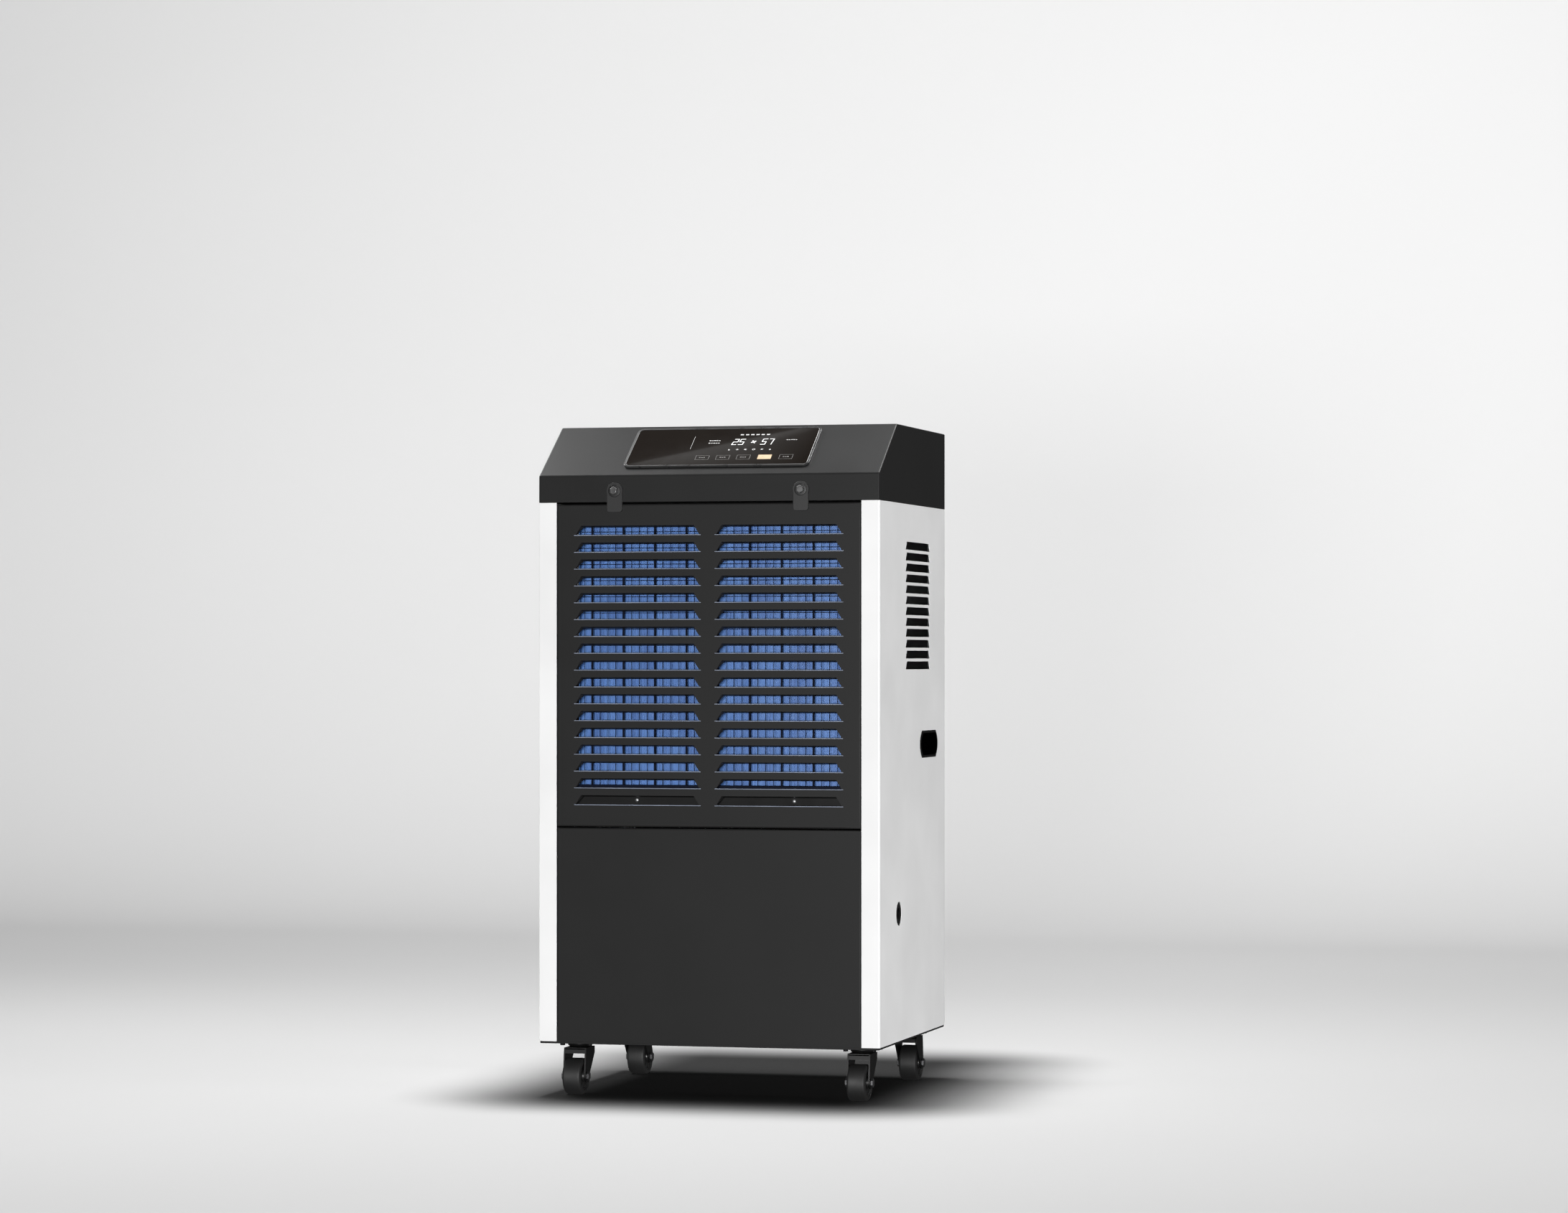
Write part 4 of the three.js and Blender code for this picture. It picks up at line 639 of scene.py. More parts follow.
def cover():
    planes = [(X, SIDE), (-X, SIDE), (-Y, -FRONT), (Y, BACK), (Z, COVER_HIGH.z),
              (SLOPE_NORMAL, SLOPE_POINT.dot(SLOPE_NORMAL))]
    softened_node("top_cover", "cover_shell", CHARCOAL, planes=planes, fold=2.0 * MM)


# ------------------------------------------------------------------ control panel

CONTROL_X = 6.5 * MM
GLASS_TOP = 2.7 * MM
INK = 0.08 * MM

SEGMENTS = {"2": "abged", "5": "afgcd", "7": "abc"}


def mark(bm, x, s, width, height, rise=INK):
    """A flat printed bar on the glass, by its lower left corner in slope coordinates."""
    return add_box(bm, (x, x + width), (s, s + height), (GLASS_TOP, GLASS_TOP + rise))


def digit(bm, character, x, s, width=7.2 * MM, height=15.5 * MM, bar=1.15 * MM):
    """A leaning seven-segment digit."""
    half = height / 2
    gap = 0.35 * MM
    bars = {"a": (gap, height - bar, width - 2 * gap, bar), "g": (gap, half - bar / 2, width - 2 * gap, bar),
            "d": (gap, 0, width - 2 * gap, bar), "f": (0, half + gap, bar, half - 2 * gap),
            "b": (width - bar, half + gap, bar, half - 2 * gap), "e": (0, gap, bar, half - 2 * gap),
            "c": (width - bar, gap, bar, half - 2 * gap)}
    for segment in SEGMENTS[character]:
        dx, ds, wide, tall = bars[segment]
        verts = mark(bm, x + dx, s + ds, wide, tall)
        for vert in verts:
            vert.co.x += (vert.co.y - s) * 0.16


def key_outline(bm, x, s, width, height, line=0.45 * MM):
    for ds in (0, height - line):
        mark(bm, x, s + ds, width, line)
    for dx in (0, width - line):
        mark(bm, x + dx, s + line, line, height - 2 * line)


def dashes(bm, x, s, count, width=2.2 * MM, gap=0.9 * MM, height=2.0 * MM):
    """A run of short bars in place of a printed word."""
    for i in range(count):
        mark(bm, x + i * (width + gap), s, width, height * (0.75 if i % 3 == 1 else 1))


def drop_icon(bm, x, s, size):
    add_rod(bm, (x, s - size * 0.15, GLASS_TOP), (x, s - size * 0.15, GLASS_TOP + INK), size * 0.32, 14)
    add_rod(bm, (x, s + size * 0.05, GLASS_TOP), (x, s + size * 0.05, GLASS_TOP + INK), size * 0.22, 3)


def fan_icon(bm, x, s, size):
    """Four petals round a dot."""
    add_rod(bm, (x, s, GLASS_TOP), (x, s, GLASS_TOP + INK), size * 0.12, 10)
    for i in range(4):
        turn = math.pi / 2 * i + 0.5
        at = (x + size * 0.3 * math.cos(turn), s + size * 0.3 * math.sin(turn))
        petal = add_rod(bm, (*at, GLASS_TOP), (*at, GLASS_TOP + INK), size * 0.17, 10)
        spin = Matrix.Translation((*at, 0)) @ Matrix.Rotation(turn, 4, "Z")
        stretch = spin @ Matrix.Diagonal((1.5, 0.8, 1, 1)) @ spin.inverted()
        bmesh.ops.transform(bm, verts=petal, matrix=stretch)


def ring_icon(bm, x, s, size):
    half = size / 2
    outline = [(half * 0.62, GLASS_TOP), (half, GLASS_TOP), (half, GLASS_TOP + INK),
               (half * 0.62, GLASS_TOP + INK)]
    add_turned(bm, outline, (x, s, 0), Z, steps=16, closed=True)


def star_icon(bm, x, s, size):
    for i in range(3):
        ray = mark(bm, x - size / 2, s - size * 0.07, size, size * 0.14)
        bmesh.ops.rotate(bm, verts=ray, cent=(x, s, 0), matrix=Matrix.Rotation(math.pi / 3 * i, 3, "Z"))


def place_print(name, bm, material):
    bmesh.ops.transform(bm, verts=bm.verts, matrix=ON_SLOPE)
    finish_piece(name, bm, material)


def controls():
    softened_node("control_bezel", "control_bezel_frame", BEZEL, edge=0.7 * MM)
    softened_node("control_glass", "control_touch_glass", GLASS, edge=0.3 * MM)

    lamps = bmesh.new()
    for characters, x in (("25", 17 * MM), ("57", 57.5 * MM)):
        for i, character in enumerate(characters):
            digit(lamps, character, x + i * 9 * MM, 72.5 * MM)
    fan_icon(lamps, 47.5 * MM, 80 * MM, 7.5 * MM)
    place_print("display_digits", lamps, LAMP)

    words = bmesh.new()
    icons = (drop_icon, star_icon, fan_icon, ring_icon, star_icon, drop_icon)
    for i, icon in enumerate(icons):
        icon(words, (17 + 11.6 * i) * MM, 60 * MM, 4.2 * MM)
    for s in (77 * MM, 83.5 * MM):
        dashes(words, -16 * MM, s, 5, width=2.4 * MM, height=1.7 * MM)
    for i in range(6):
        mark(words, (25 + 7.4 * i) * MM, 98 * MM, 4.6 * MM, 2.6 * MM)
    dashes(words, 93 * MM, 84 * MM, 5, width=2.3 * MM, height=1.3 * MM)
    mark(words, -39 * MM, 63 * MM, 0.35 * MM, 33 * MM)
    place_print("display_words", words, PRINT)

    outlines = bmesh.new()
    keys = [-26, 3, 32, 62, 92]
    for k, left in enumerate(keys):
        if k != 3:
            key_outline(outlines, left * MM, 34 * MM, 19 * MM, 11.5 * MM)
            dashes(outlines, (left + 5) * MM, 38.8 * MM, 3, height=2.2 * MM)
    place_print("touch_key_outlines", outlines, FAINT_PRINT)

    gold = bmesh.new()
    mark(gold, keys[3] * MM, 34 * MM, 19 * MM, 11.5 * MM)
    place_print("touch_key_selected", gold, GOLD)


# ------------------------------------------------------------------ latches


def latches():
    for side in ("left", "right"):
        body = f"latch_{side}"
        softened_node(f"latch_tab_{side}", f"latch_tab_plate_{side}", TAB_COAT, body,
                      0.6 * MM)
        low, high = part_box(f"latch_washer_{side}")
        centre = (low + high) / 2
        ring = bmesh.new()
        thick = high.y - low.y
        outline = [(3.6 * MM, thick / 2), (8.5 * MM, thick / 2), (8.5 * MM, -thick / 4),
                   (7.9 * MM, -thick / 2), (3.6 * MM, -thick / 2)]
        add_turned(ring, outline, centre, Y, 40, closed=True)
        finish_piece(f"latch_washer_ring_{side}", ring, ENAMEL, body, f"latch_washer_{side}",
                     edge=0.15 * MM)
        low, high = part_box(f"latch_bolt_{side}")
        bolt = bmesh.new()
        at = Vector((centre.x, low.y, centre.z))
        add_rod(bolt, at + Y * 0.5 * MM, at + Y * 4.3 * MM, 5.7 * MM, 6)
        add_rod(bolt, at, at + Y * 0.55 * MM, 4.3 * MM, 32, 4.9 * MM)
        add_rod(bolt, at + Y * 4 * MM, (at.x, high.y, at.z), 3 * MM, 20)
        finish_piece(f"latch_bolt_screw_{side}", bolt, BOLT_STEEL, body, f"latch_bolt_{side}",
                     edge=0.35 * MM)


# ------------------------------------------------------------------ filter, coils and tray


def steps_between(first, last, pitch, through=0.0):
    """Places a pitch apart that fall between two limits, on a comb through a given place."""
    start = math.ceil((first - through) / pitch)
    stop = math.floor((last - through) / pitch)
    return [through + i * pitch for i in range(start, stop + 1)]


def filter_net():
    low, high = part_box("filter_frame")
    border = FILTER_BORDER
    rim = bmesh.new()
    for x in ((low.x, low.x + border), (high.x - border, high.x)):
        add_box(rim, x, (low.y, high.y), (low.z, high.z))
    for z in ((low.z, low.z + border), (high.z - border, high.z)):
        add_box(rim, (low.x + border - MM, high.x - border + MM), (low.y + 0.2 * MM, high.y - 0.2 * MM), z)
    middle = (low.y + high.y) / 2
    for x in steps_between(low.x + border, high.x - border, FILTER_RIB_PITCH, FILTER_RIB_SHIFT):
        add_box(rim, (x - 1.1 * MM, x + 1.1 * MM), (middle - 2 * MM, middle + 2 * MM),
                (low.z + MM, high.z - MM))
    finish_piece("filter_ribs", rim, NET, "cabinet", "filter_frame", edge=0.4 * MM)
    net = bmesh.new()
    thin = 0.42 * MM
    for x in steps_between(low.x + border, high.x - border, NET_PITCH_X, FILTER_RIB_SHIFT):
        add_rod(net, (x, middle, low.z + MM), (x, middle, high.z - MM), thin, 6)
    for z in steps_between(low.z + border, high.z - border, NET_PITCH_Z, NET_STRAND_Z):
        add_rod(net, (low.x + MM, middle + thin, z), (high.x - MM, middle + thin, z), thin, 6)
    finish_piece("filter_net_strands", net, NET)


def fin_pack(node, name, material):
    """Pressed fins on hairpin tubes between two end plates, with return bends on the right."""
    low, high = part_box(node)
    half = SIDE - COIL_MARGIN
    y0, y1 = low.y + END_PLATE, high.y - END_PLATE
    z0, z1 = low.z + 2 * MM, high.z - 2 * MM
    fins = bmesh.new()
    for x in steps_between(-half + MM, half - MM, FIN_PITCH):
        add_box(fins, (x - FIN_THICKNESS / 2, x + FIN_THICKNESS / 2), (y0, y1), (z0, z1))
    add_box(fins, (-half + MM, half - MM), (y0 + FIN_GROOVE, y1 - FIN_GROOVE), (z0 + MM, z1 - MM))
    for x in ((-half - END_PLATE, -half), (half, half + END_PLATE)):
        add_box(fins, x, (low.y, high.y), (low.z, high.z))
    finish_piece(name, fins, material, "cabinet", node)

    tubes = bmesh.new()
    pitch = (z1 - z0) / TUBE_ROWS
    middle = (y0 + y1) / 2
    for row in range(TUBE_ROWS):
        z = z0 + (row + 0.5) * pitch
        for y in (middle - TUBE_APART, middle + TUBE_APART):
            add_rod(tubes, (-half - 3 * MM, y, z), (half + 3 * MM, y, z), TUBE_RADIUS, 14)
        if row % 2 == 0:
            for y in (middle - TUBE_APART, middle + TUBE_APART):
                add_return_bend(tubes, half, y, z + pitch / 2, pitch / 2)
    finish_piece(f"{name}_tubes", tubes, COPPER)


def add_return_bend(bm, end, y, z, radius):
    """Half a ring of tube from one row to the next, flattened towards the end plate."""
    bend = bmesh.new()
    verts = []
    for i in range(12):
        turn = 2 * math.pi * i / 12
        out = radius + TUBE_RADIUS * math.cos(turn)
        verts.append(bend.verts.new((end + END_PLATE, y + TUBE_RADIUS * math.sin(turn), z + out)))
    edges = [bend.edges.new(pair) for pair in zip(verts, verts[1:] + verts[:1])]
    bmesh.ops.spin(bend, geom=verts + edges, cent=(end + END_PLATE, y, z), axis=Y, angle=math.pi, steps=12)
    join_mesh(bm, bend, scale_x=0.6, about=end)


def join_mesh(target, source, scale_x=1.0, about=0.0):
    """Adds one mesh under construction to another, squeezed along X about a place."""
    there, back = Matrix.Translation((about, 0, 0)), Matrix.Translation((-about, 0, 0))
    squeeze = there @ Matrix.Diagonal((scale_x, 1, 1, 1)) @ back
    bmesh.ops.transform(source, verts=source.verts, matrix=squeeze)
    mesh = bpy.data.meshes.new("joining")
    source.to_mesh(mesh)
    source.free()
    target.from_mesh(mesh)
    bpy.data.meshes.remove(mesh)


def drip_tray():
    softened_node("drip_tray", "drip_tray_moulding", PLASTIC, edge=0.5 * MM)
    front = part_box("drip_tray")[0].y
    screws = bmesh.new()
    for x, z in in_mm((-105, 407), (117, 407)):
        outline = in_mm((0, -1.2), (1.6, -1.0), (2.6, -0.3), (2.6, 0.5), (0, 0.5))
        add_turned(screws, outline, (x, front, z), Y, 20)
    finish_piece("drip_tray_screws", screws, ZINC)


# ------------------------------------------------------------------ fan, guard and rear


def fan():
    low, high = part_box("fan_impeller")
    centre = Vector((0, (low.y + high.y) / 2, (low.z + high.z) / 2))
    tip = (high.x - low.x) / 2
    bm = bmesh.new()
    hub = in_mm((5.3, -15), (30, -17), (42, -14), (46, -7), (46, 14), (43, 14), (43, -6), (14, -9),
                (12, 12), (5.3, 12))
    add_turned(bm, hub, centre, Y, 60, closed=True)
    finish_piece("fan_hub", bm, PLASTIC, "fan", "fan_impeller", edge=0.5 * MM)
    blades = bmesh.new()
    for i in range(BLADES):
        grid = bmesh.ops.create_grid(blades, x_segments=9, y_segments=12, size=0.5)["verts"]
        for vert in grid:
            along, out = vert.co.x, vert.co.y + 0.5
            radius = HUB_RADIUS - 2 * MM + out * (tip - MM - HUB_RADIUS + 2 * MM)
            spread = math.radians(46 + 10 * out) * along
            lead = math.radians(14) * out * out
            turn = spread + lead + 2 * math.pi * i / BLADES
            lift = along * (26 - 9 * out) * MM - 5 * MM * (along * along * 4 - 1) * 0.5
            vert.co = centre + Vector((radius * math.sin(turn), lift, radius * math.cos(turn)))
    finish_piece("fan_blades", blades, PLASTIC, "fan", edge=0.4 * MM, wall=2.2 * MM)


def fan_motor():
    low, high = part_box("fan_motor")
    centre = Vector((0, 0, (low.z + high.z) / 2))
    radius = (high.x - low.x) / 2
    front = high.y - 36 * MM
    outline = [(0, front - 3 * MM), (15 * MM, front - 3 * MM), (15 * MM, front), (radius - 4 * MM, front)]
    for i in range(5):
        y = front + (3 + 6 * i) * MM
        outline += [(radius, y), (radius, y + 2.4 * MM), (radius - 2 * MM, y + 3 * MM),
                    (radius - 2 * MM, y + 5 * MM)]
    outline += [(radius - 1 * MM, high.y), (0, high.y)]
    bm = bmesh.new()
    add_turned(bm, outline, centre, Y, 64)
    add_rod(bm, (0, low.y, centre.z), (0, front, centre.z), 5 * MM, 24)
    finish_piece("fan_motor_case", bm, ENAMEL, "cabinet", "fan_motor", edge=0.3 * MM)


def fan_guard():
    low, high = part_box("fan_guard")
    centre = Vector((0, 0, (low.z + high.z) / 2))
    rim = (high.x - low.x) / 2
    plate_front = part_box("fan_motor")[1].y + CLEARANCE
    bm = bmesh.new()
    frame_ring = [(rim - 4 * MM, BACK + CLEARANCE), (rim, BACK + CLEARANCE), (rim, high.y - MM),
                  (rim - MM, high.y), (rim - 3 * MM, high.y), (rim - 4 * MM, high.y - MM)]
    add_turned(bm, frame_ring, centre, Y, 72, closed=True)
    for i in range(1, GUARD_WIRES):
        radius = HUB_RADIUS + (rim - 48 * MM) * i / GUARD_WIRES
        add_ring(bm, centre + Y * (high.y - 1.5 * MM), Y, radius, 1.2 * MM, steps=56, sides=6)
    plate = [(0, plate_front), (HUB_RADIUS, plate_front), (HUB_RADIUS, plate_front + 3 * MM),
             (HUB_RADIUS - 2 * MM, plate_front + 4 * MM), (0, plate_front + 4 * MM)]
    add_turned(bm, plate, centre, Y, 48)
    for i in range(4):
        arm = add_box(bm, (40 * MM, rim - 2 * MM), (plate_front + MM, high.y - 2.6 * MM),
                      (-2.5 * MM, 2.5 * MM))
        turn = Matrix.Translation(centre) @ Matrix.Rotation(math.radians(45 + 90 * i), 4, "Y")
        bmesh.ops.transform(bm, verts=arm, matrix=turn)
    finish_piece("fan_guard_wires", bm, DARK_STEEL, "cabinet", "fan_guard", edge=0.2 * MM)


def shroud():
    low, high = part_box("fan_shroud")
    half, centre = high.x, Vector((0, 0, (low.z + high.z) / 2))
    inner = [(SHROUD_RING + SHROUD_FLARE * (1 - math.sin(t)), low.y + SHROUD_FLARE * (1 - math.cos(t)))
             for t in quarter_turn(8)] + [(SHROUD_RING, high.y)]
    outer = [(radius + SHROUD_WALL, y + (SHROUD_WALL if y < high.y - MM else 0)) for radius, y in inner]
    bm = bmesh.new()
    add_turned(bm, inner + outer[::-1], centre, Y, 72, closed=True)

    plate = bmesh.new()
    bmesh.ops.create_circle(plate, cap_ends=False, segments=72, radius=SHROUD_RING + 0.7 * MM)
    hole_edges = plate.edges[:]
    corners = ((half, half), (-half, half), (-half, -half), (half, -half))
    square = [plate.verts.new((x, y, 0)) for x, y in corners]
    rim = [plate.edges.new(pair) for pair in zip(square, square[1:] + square[:1])]
    bmesh.ops.triangle_fill(plate, use_beauty=True, edges=hole_edges + rim)
    thick = bmesh.ops.extrude_face_region(plate, geom=plate.faces[:])["geom"]
    bmesh.ops.translate(plate, verts=verts_of(thick), vec=Z * SHROUD_WALL)
    place = Matrix.Translation((0, high.y, centre.z)) @ Matrix.Rotation(math.pi / 2, 4, "X")
    bmesh.ops.transform(plate, verts=plate.verts, matrix=place)
    join_mesh(bm, plate)
    finish_piece("fan_shroud_ring", bm, CHARCOAL, "cabinet", "fan_shroud")


def screw_heads(name, places, axis):
    """Pan-head screws with a cross recess, standing on a face towards the axis."""
    bm = bmesh.new()
    outline = in_mm((0, 1.5), (1.5, 1.5), (2.9, 1.1), (3.6, 0.3), (3.6, 0), (0, 0))
    across = axis.orthogonal().normalized()
    for place in places:
        add_turned(bm, outline, place, axis, 20)
        top = Vector(place) + axis * 1.45 * MM
        for direction in (across, axis.cross(across)):
            add_rod(bm, top - direction * 1.8 * MM, top + direction * 1.8 * MM, 0.3 * MM, 6)
    finish_piece(name, bm, ZINC)


def rear():
    softened_node("rear_panel", "rear_panel_sheet", WHITE, edge=0.0)
    low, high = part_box("rear_panel")
    columns = (low.x + 9 * MM, high.x - 9 * MM)
    rows = [low.z + 20 * MM + (high.z - low.z - 40 * MM) * i / 4 for i in range(5)]
    screw_heads("rear_screws", [(x, BACK, z) for x in columns for z in rows], Y)

    low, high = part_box("fan_guard")
    middle = (low.z + high.z) / 2
    reach = SHROUD_SCREWS * math.cos(math.pi / 4)
    corners = [(1, 1), (-1, 1), (-1, -1), (1, -1)]
    screw_heads("shroud_screws", [(reach * x, BACK, middle + reach * z) for x, z in corners], Y)

    low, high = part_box("cord_gland")
    at = Vector(((low.x + high.x) / 2, BACK, (low.z + high.z) / 2))
    ridges = in_mm((13, 0.3), (13, 4), (10, 5), (10, 6.2), (9.2, 6.6), (9.2, 7.4), (8.2, 9), (4, 9),
                   (4, -14), (8, -14), (8, 0.3))
    gland = bmesh.new()
    add_turned(gland, ridges, at, Y, 32, closed=True)
    finish_piece("cord_gland_bushing", gland, PLASTIC, "cabinet", "cord_gland",
                 edge=0.3 * MM)


# ------------------------------------------------------------------ drain


def drain():
    smooth_tube("drain_hose", "drain_hose_bend", VINYL)
    low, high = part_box("drain_outlet")
    at = Vector((SIDE, (low.y + high.y) / 2, (low.z + high.z) / 2))
    outline = in_mm((8, -34), (11, -34), (11, -20), (11.6, -19), (11, -18), (11, -5), (23.5, -4.8),
                    (23.5, -1.6), (13.6, -1.5), (13.4, -0.7), (13, -0.5), (9, -0.5), (8, -1.2))
    bm = bmesh.new()
    add_turned(bm, outline, at, X, 48, closed=True)
    finish_piece("drain_outlet_spout", bm, PLASTIC, "cabinet", "drain_outlet")


# ------------------------------------------------------------------ refrigeration


def compressor():
    low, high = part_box("compressor")
    at, radius, plate_low = COMPRESSOR_AT, COMPRESSOR_RADIUS, low.z
    bottom, top = plate_low + MM, high.z - 14 * MM
    dome_height, base_height = 34 * MM, 24 * MM
    dome = [(radius * math.sin(t), top - dome_height * (1 - math.cos(t))) for t in quarter_turn(8)]
    base = [(radius * math.sin(t), bottom + base_height * (1 - math.cos(t))) for t in quarter_turn(6)[::-1]]
    weld, bead_radius = top - 60 * MM, radius + 1.6 * MM
    bead = [(radius, weld + 3 * MM), (bead_radius, weld + 1.5 * MM), (bead_radius, weld - 1.5 * MM),
            (radius, weld - 3 * MM)]
    bm = bmesh.new()
    add_turned(bm, dome + bead + base, at, Z, 72)
    add_box(bm, (at.x - 16 * MM, at.x + 16 * MM), (at.y - 14 * MM, at.y + 14 * MM), (top - 10 * MM, high.z))
    stub = at - X * radius * 0.55
    add_rod(bm, stub + Z * (top - 10 * MM), stub + Z * (top + 8 * MM), 6 * MM, 24)
    for i in range(3):
        turn = Matrix.Translation(at) @ Matrix.Rotation(math.pi / 2 + 2 * math.pi * i / 3, 4, "Z")
        pad = Vector((FOOT_REACH, 0, plate_low))
        arm = add_box(bm, (0, FOOT_REACH), (-FOOT_PAD, FOOT_PAD), (plate_low, plate_low + 3 * MM))
        arm += add_rod(bm, pad, pad + Z * 2.99 * MM, FOOT_PAD, 32)
        arm += add_rod(bm, pad + Z * MM, pad + Z * 9 * MM, 6 * MM, 6)
        bmesh.ops.transform(bm, verts=arm, matrix=turn)
    finish_piece("compressor_shell", bm, ENAMEL, "cabinet", "compressor", edge=0.5 * MM)
    for i in (1, 2, 3):
        low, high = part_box(f"compressor_foot_{i}")
        tall = (high.z - low.z) / MM
        outline = in_mm((0, 0), (11, 0), (12, 1), (12, 4.5), (9.5, 6.5), (9.5, tall - 5), (12, tall - 3),
                        (12, tall - 1), (11, tall), (0, tall))
        foot = bmesh.new()
        add_turned(foot, outline, foot_of(low, high), Z, 36)
        finish_piece(f"compressor_rubber_{i}", foot, RUBBER, "cabinet", f"compressor_foot_{i}")


def accumulator():
    at, radius, top = ACCUMULATOR_AT, ACCUMULATOR_RADIUS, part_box("accumulator")[1].z
    z0, z1 = top - 12 * MM - ACCUMULATOR_HEIGHT, top - 12 * MM
    domes = [(radius * math.sin(t), z1 - ACCUMULATOR_DOME * (1 - math.cos(t))) for t in quarter_turn(7)]
    domes += [(radius * math.sin(t), z0 + ACCUMULATOR_DOME * (1 - math.cos(t)))
              for t in quarter_turn(7)[::-1]]
    can = bmesh.new()
    add_turned(can, domes, at, Z, 56)
    add_rod(can, at + Z * (z1 - 6 * MM), at + Z * top, 6 * MM, 24)
    band = [(radius + 1.4 * MM, z0 + 60 * MM), (radius + 1.4 * MM, z0 + 78 * MM), (radius - MM, z0 + 78 * MM),
            (radius - MM, z0 + 60 * MM)]
    add_turned(can, band, at, Z, 56, closed=True)
    elbow = cad_copy("accumulator")
    bmesh.ops.delete(elbow, geom=[v for v in elbow.verts if v.co.z >= z0 + MM], context="VERTS")
    join_mesh(can, elbow)
    finish_piece("accumulator_can", can, ENAMEL, "cabinet", "accumulator")


def pipes():
    for node in ("discharge_pipe", "suction_pipe", "liquid_pipe", "capillary_tube"):
        smooth_tube(node, f"{node}_copper", COPPER)
    low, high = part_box("filter_drier")
    bm = bmesh.new()
    outline = in_mm((0, 0), (4.5, 0), (4.5, 5), (5.5, 8), (9, 13), (10, 17), (10, 78), (8.5, 83), (4, 88),
                    (3, 91), (3, 96), (0, 96))
    add_turned(bm, outline, foot_of(low, high), Z, 40)
    finish_piece("filter_drier_shell", bm, COPPER, "cabinet", "filter_drier")


# ------------------------------------------------------------------ electrics


def electrics():
    softened_node("electrical_box", "electrical_box_sheet", ZINC, edge=0.3 * MM)
    softened_node("humidity_sensor", "humidity_sensor_case", PLASTIC, edge=1.2 * MM)
    low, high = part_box("control_board")
    board = bmesh.new()
    add_box(board, (low.x, low.x + 1.6 * MM), (low.y, high.y), (low.z, high.z))
    finish_piece("control_board_laminate", board, BOARD, "cabinet", "control_board",
                 edge=0.2 * MM)
    face = low.x + 1.5 * MM
    relays = bmesh.new()
    for i in range(3):
        y = low.y + (12 + 34 * i) * MM
        add_box(relays, (face, face + 16.5 * MM), (y, y + 24 * MM), (low.z + 10 * MM, low.z + 38 * MM))
    finish_piece("control_board_relays", relays, RELAY, edge=0.8 * MM)
    core = bmesh.new()
    y0, z1 = low.y + 18 * MM, high.z - 16 * MM
    add_box(core, (face, face + 17 * MM), (y0, y0 + 46 * MM), (z1 - 40 * MM, z1))
    finish_piece("control_board_core", core, DARK_STEEL, edge=0.5 * MM)
    winding = bmesh.new()
    add_box(winding, (face + MM, face + 22.5 * MM), (y0 + 9 * MM, y0 + 37 * MM), (z1 - 33 * MM, z1 - 7 * MM))
    finish_piece("control_board_winding", winding, WINDING, edge=2 * MM)
    parts = bmesh.new()
    for i in range(5):
        at = Vector((face, high.y - (14 + 13 * i) * MM, low.z + (62 + 7 * (i % 2)) * MM))
        add_rod(parts, at, at + X * (13 + 3 * (i % 3)) * MM, 4.5 * MM, 24)
    for i in range(6):
        y, z = low.y + (10 + 19 * i) * MM, low.z + (50 + 4 * (i % 3)) * MM
        add_box(parts, (face, face + 2.2 * MM), (y, y + 9 * MM), (z, z + 5 * MM))
    finish_piece("control_board_parts", parts, COMPONENT, edge=0.4 * MM)
    low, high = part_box("run_capacitor")
    can = bmesh.new()
    radius, tall = (high.x - low.x) / 2, high.z - low.z
    outline = [(0, 0), (radius - MM, 0), (radius, MM), (radius, tall - 7 * MM),
               (radius - 1.5 * MM, tall - 6 * MM), (radius, tall - 5 * MM), (radius, tall - 3.5 * MM),
               (radius - 3 * MM, tall - 3 * MM), (radius - 4 * MM, tall - 4 * MM), (5 * MM, tall - 4 * MM),
               (5 * MM, tall), (0, tall)]
    add_turned(can, outline, foot_of(low, high), Z, 48)
    finish_piece("run_capacitor_can", can, ZINC, "cabinet", "run_capacitor", edge=0.3 * MM)
    softened_node("display_board", "display_board_laminate", BOARD, edge=0.2 * MM)


# ------------------------------------------------------------------ casters


def caster_fork(bm, crown_top):
    """A pressed fork in its own frame: kingpin on the Z axis, wheel trailing towards +Y."""
    inner, outer = 14 * MM, 16 * MM
    axle_y, axle_z = CASTER_TRAIL / MM, WHEEL_RADIUS / MM
    top = crown_top / MM
    profile = [(-16, top), (-16, 55), (axle_y - 8.6, axle_z - 2)]
    profile += [(axle_y + 9 * math.cos(t), axle_z + 9 * math.sin(t))
                for t in (math.pi + 0.2 + (math.pi - 0.2) * i / 10 for i in range(11))]
    profile += [(axle_y + 6, 56), (axle_y + 4, top)]
    for sign in (-1, 1):
        leg = [(sign * inner, y, z) for y, z in in_mm(*profile)]
        add_slab(bm, leg, X * sign * (outer - inner))
    add_box(bm, (-outer, outer), (-16 * MM, CASTER_TRAIL + 4 * MM), (crown_top - 2.5 * MM, crown_top))
    for y in (-16 * MM, CASTER_TRAIL + 2.5 * MM):
        add_box(bm, (-inner - MM, inner + MM), (y, y + 1.5 * MM), (crown_top - 8 * MM, crown_top - MM))
    # The press leaves an arched web between the crown and the legs.
    for sign in (-1, 1):
        side, under = sign * (inner + 0.5 * MM), crown_top - 2 * MM
        arch = [(side - sign * 6 * MM * (1 - math.cos(t)), -15 * MM, under - 6 * MM * (1 - math.sin(t)))
                for t in quarter_turn(6)]
        add_slab(bm, [(side, -15 * MM, under), *arch], Y * (CASTER_TRAIL + 17 * MM))


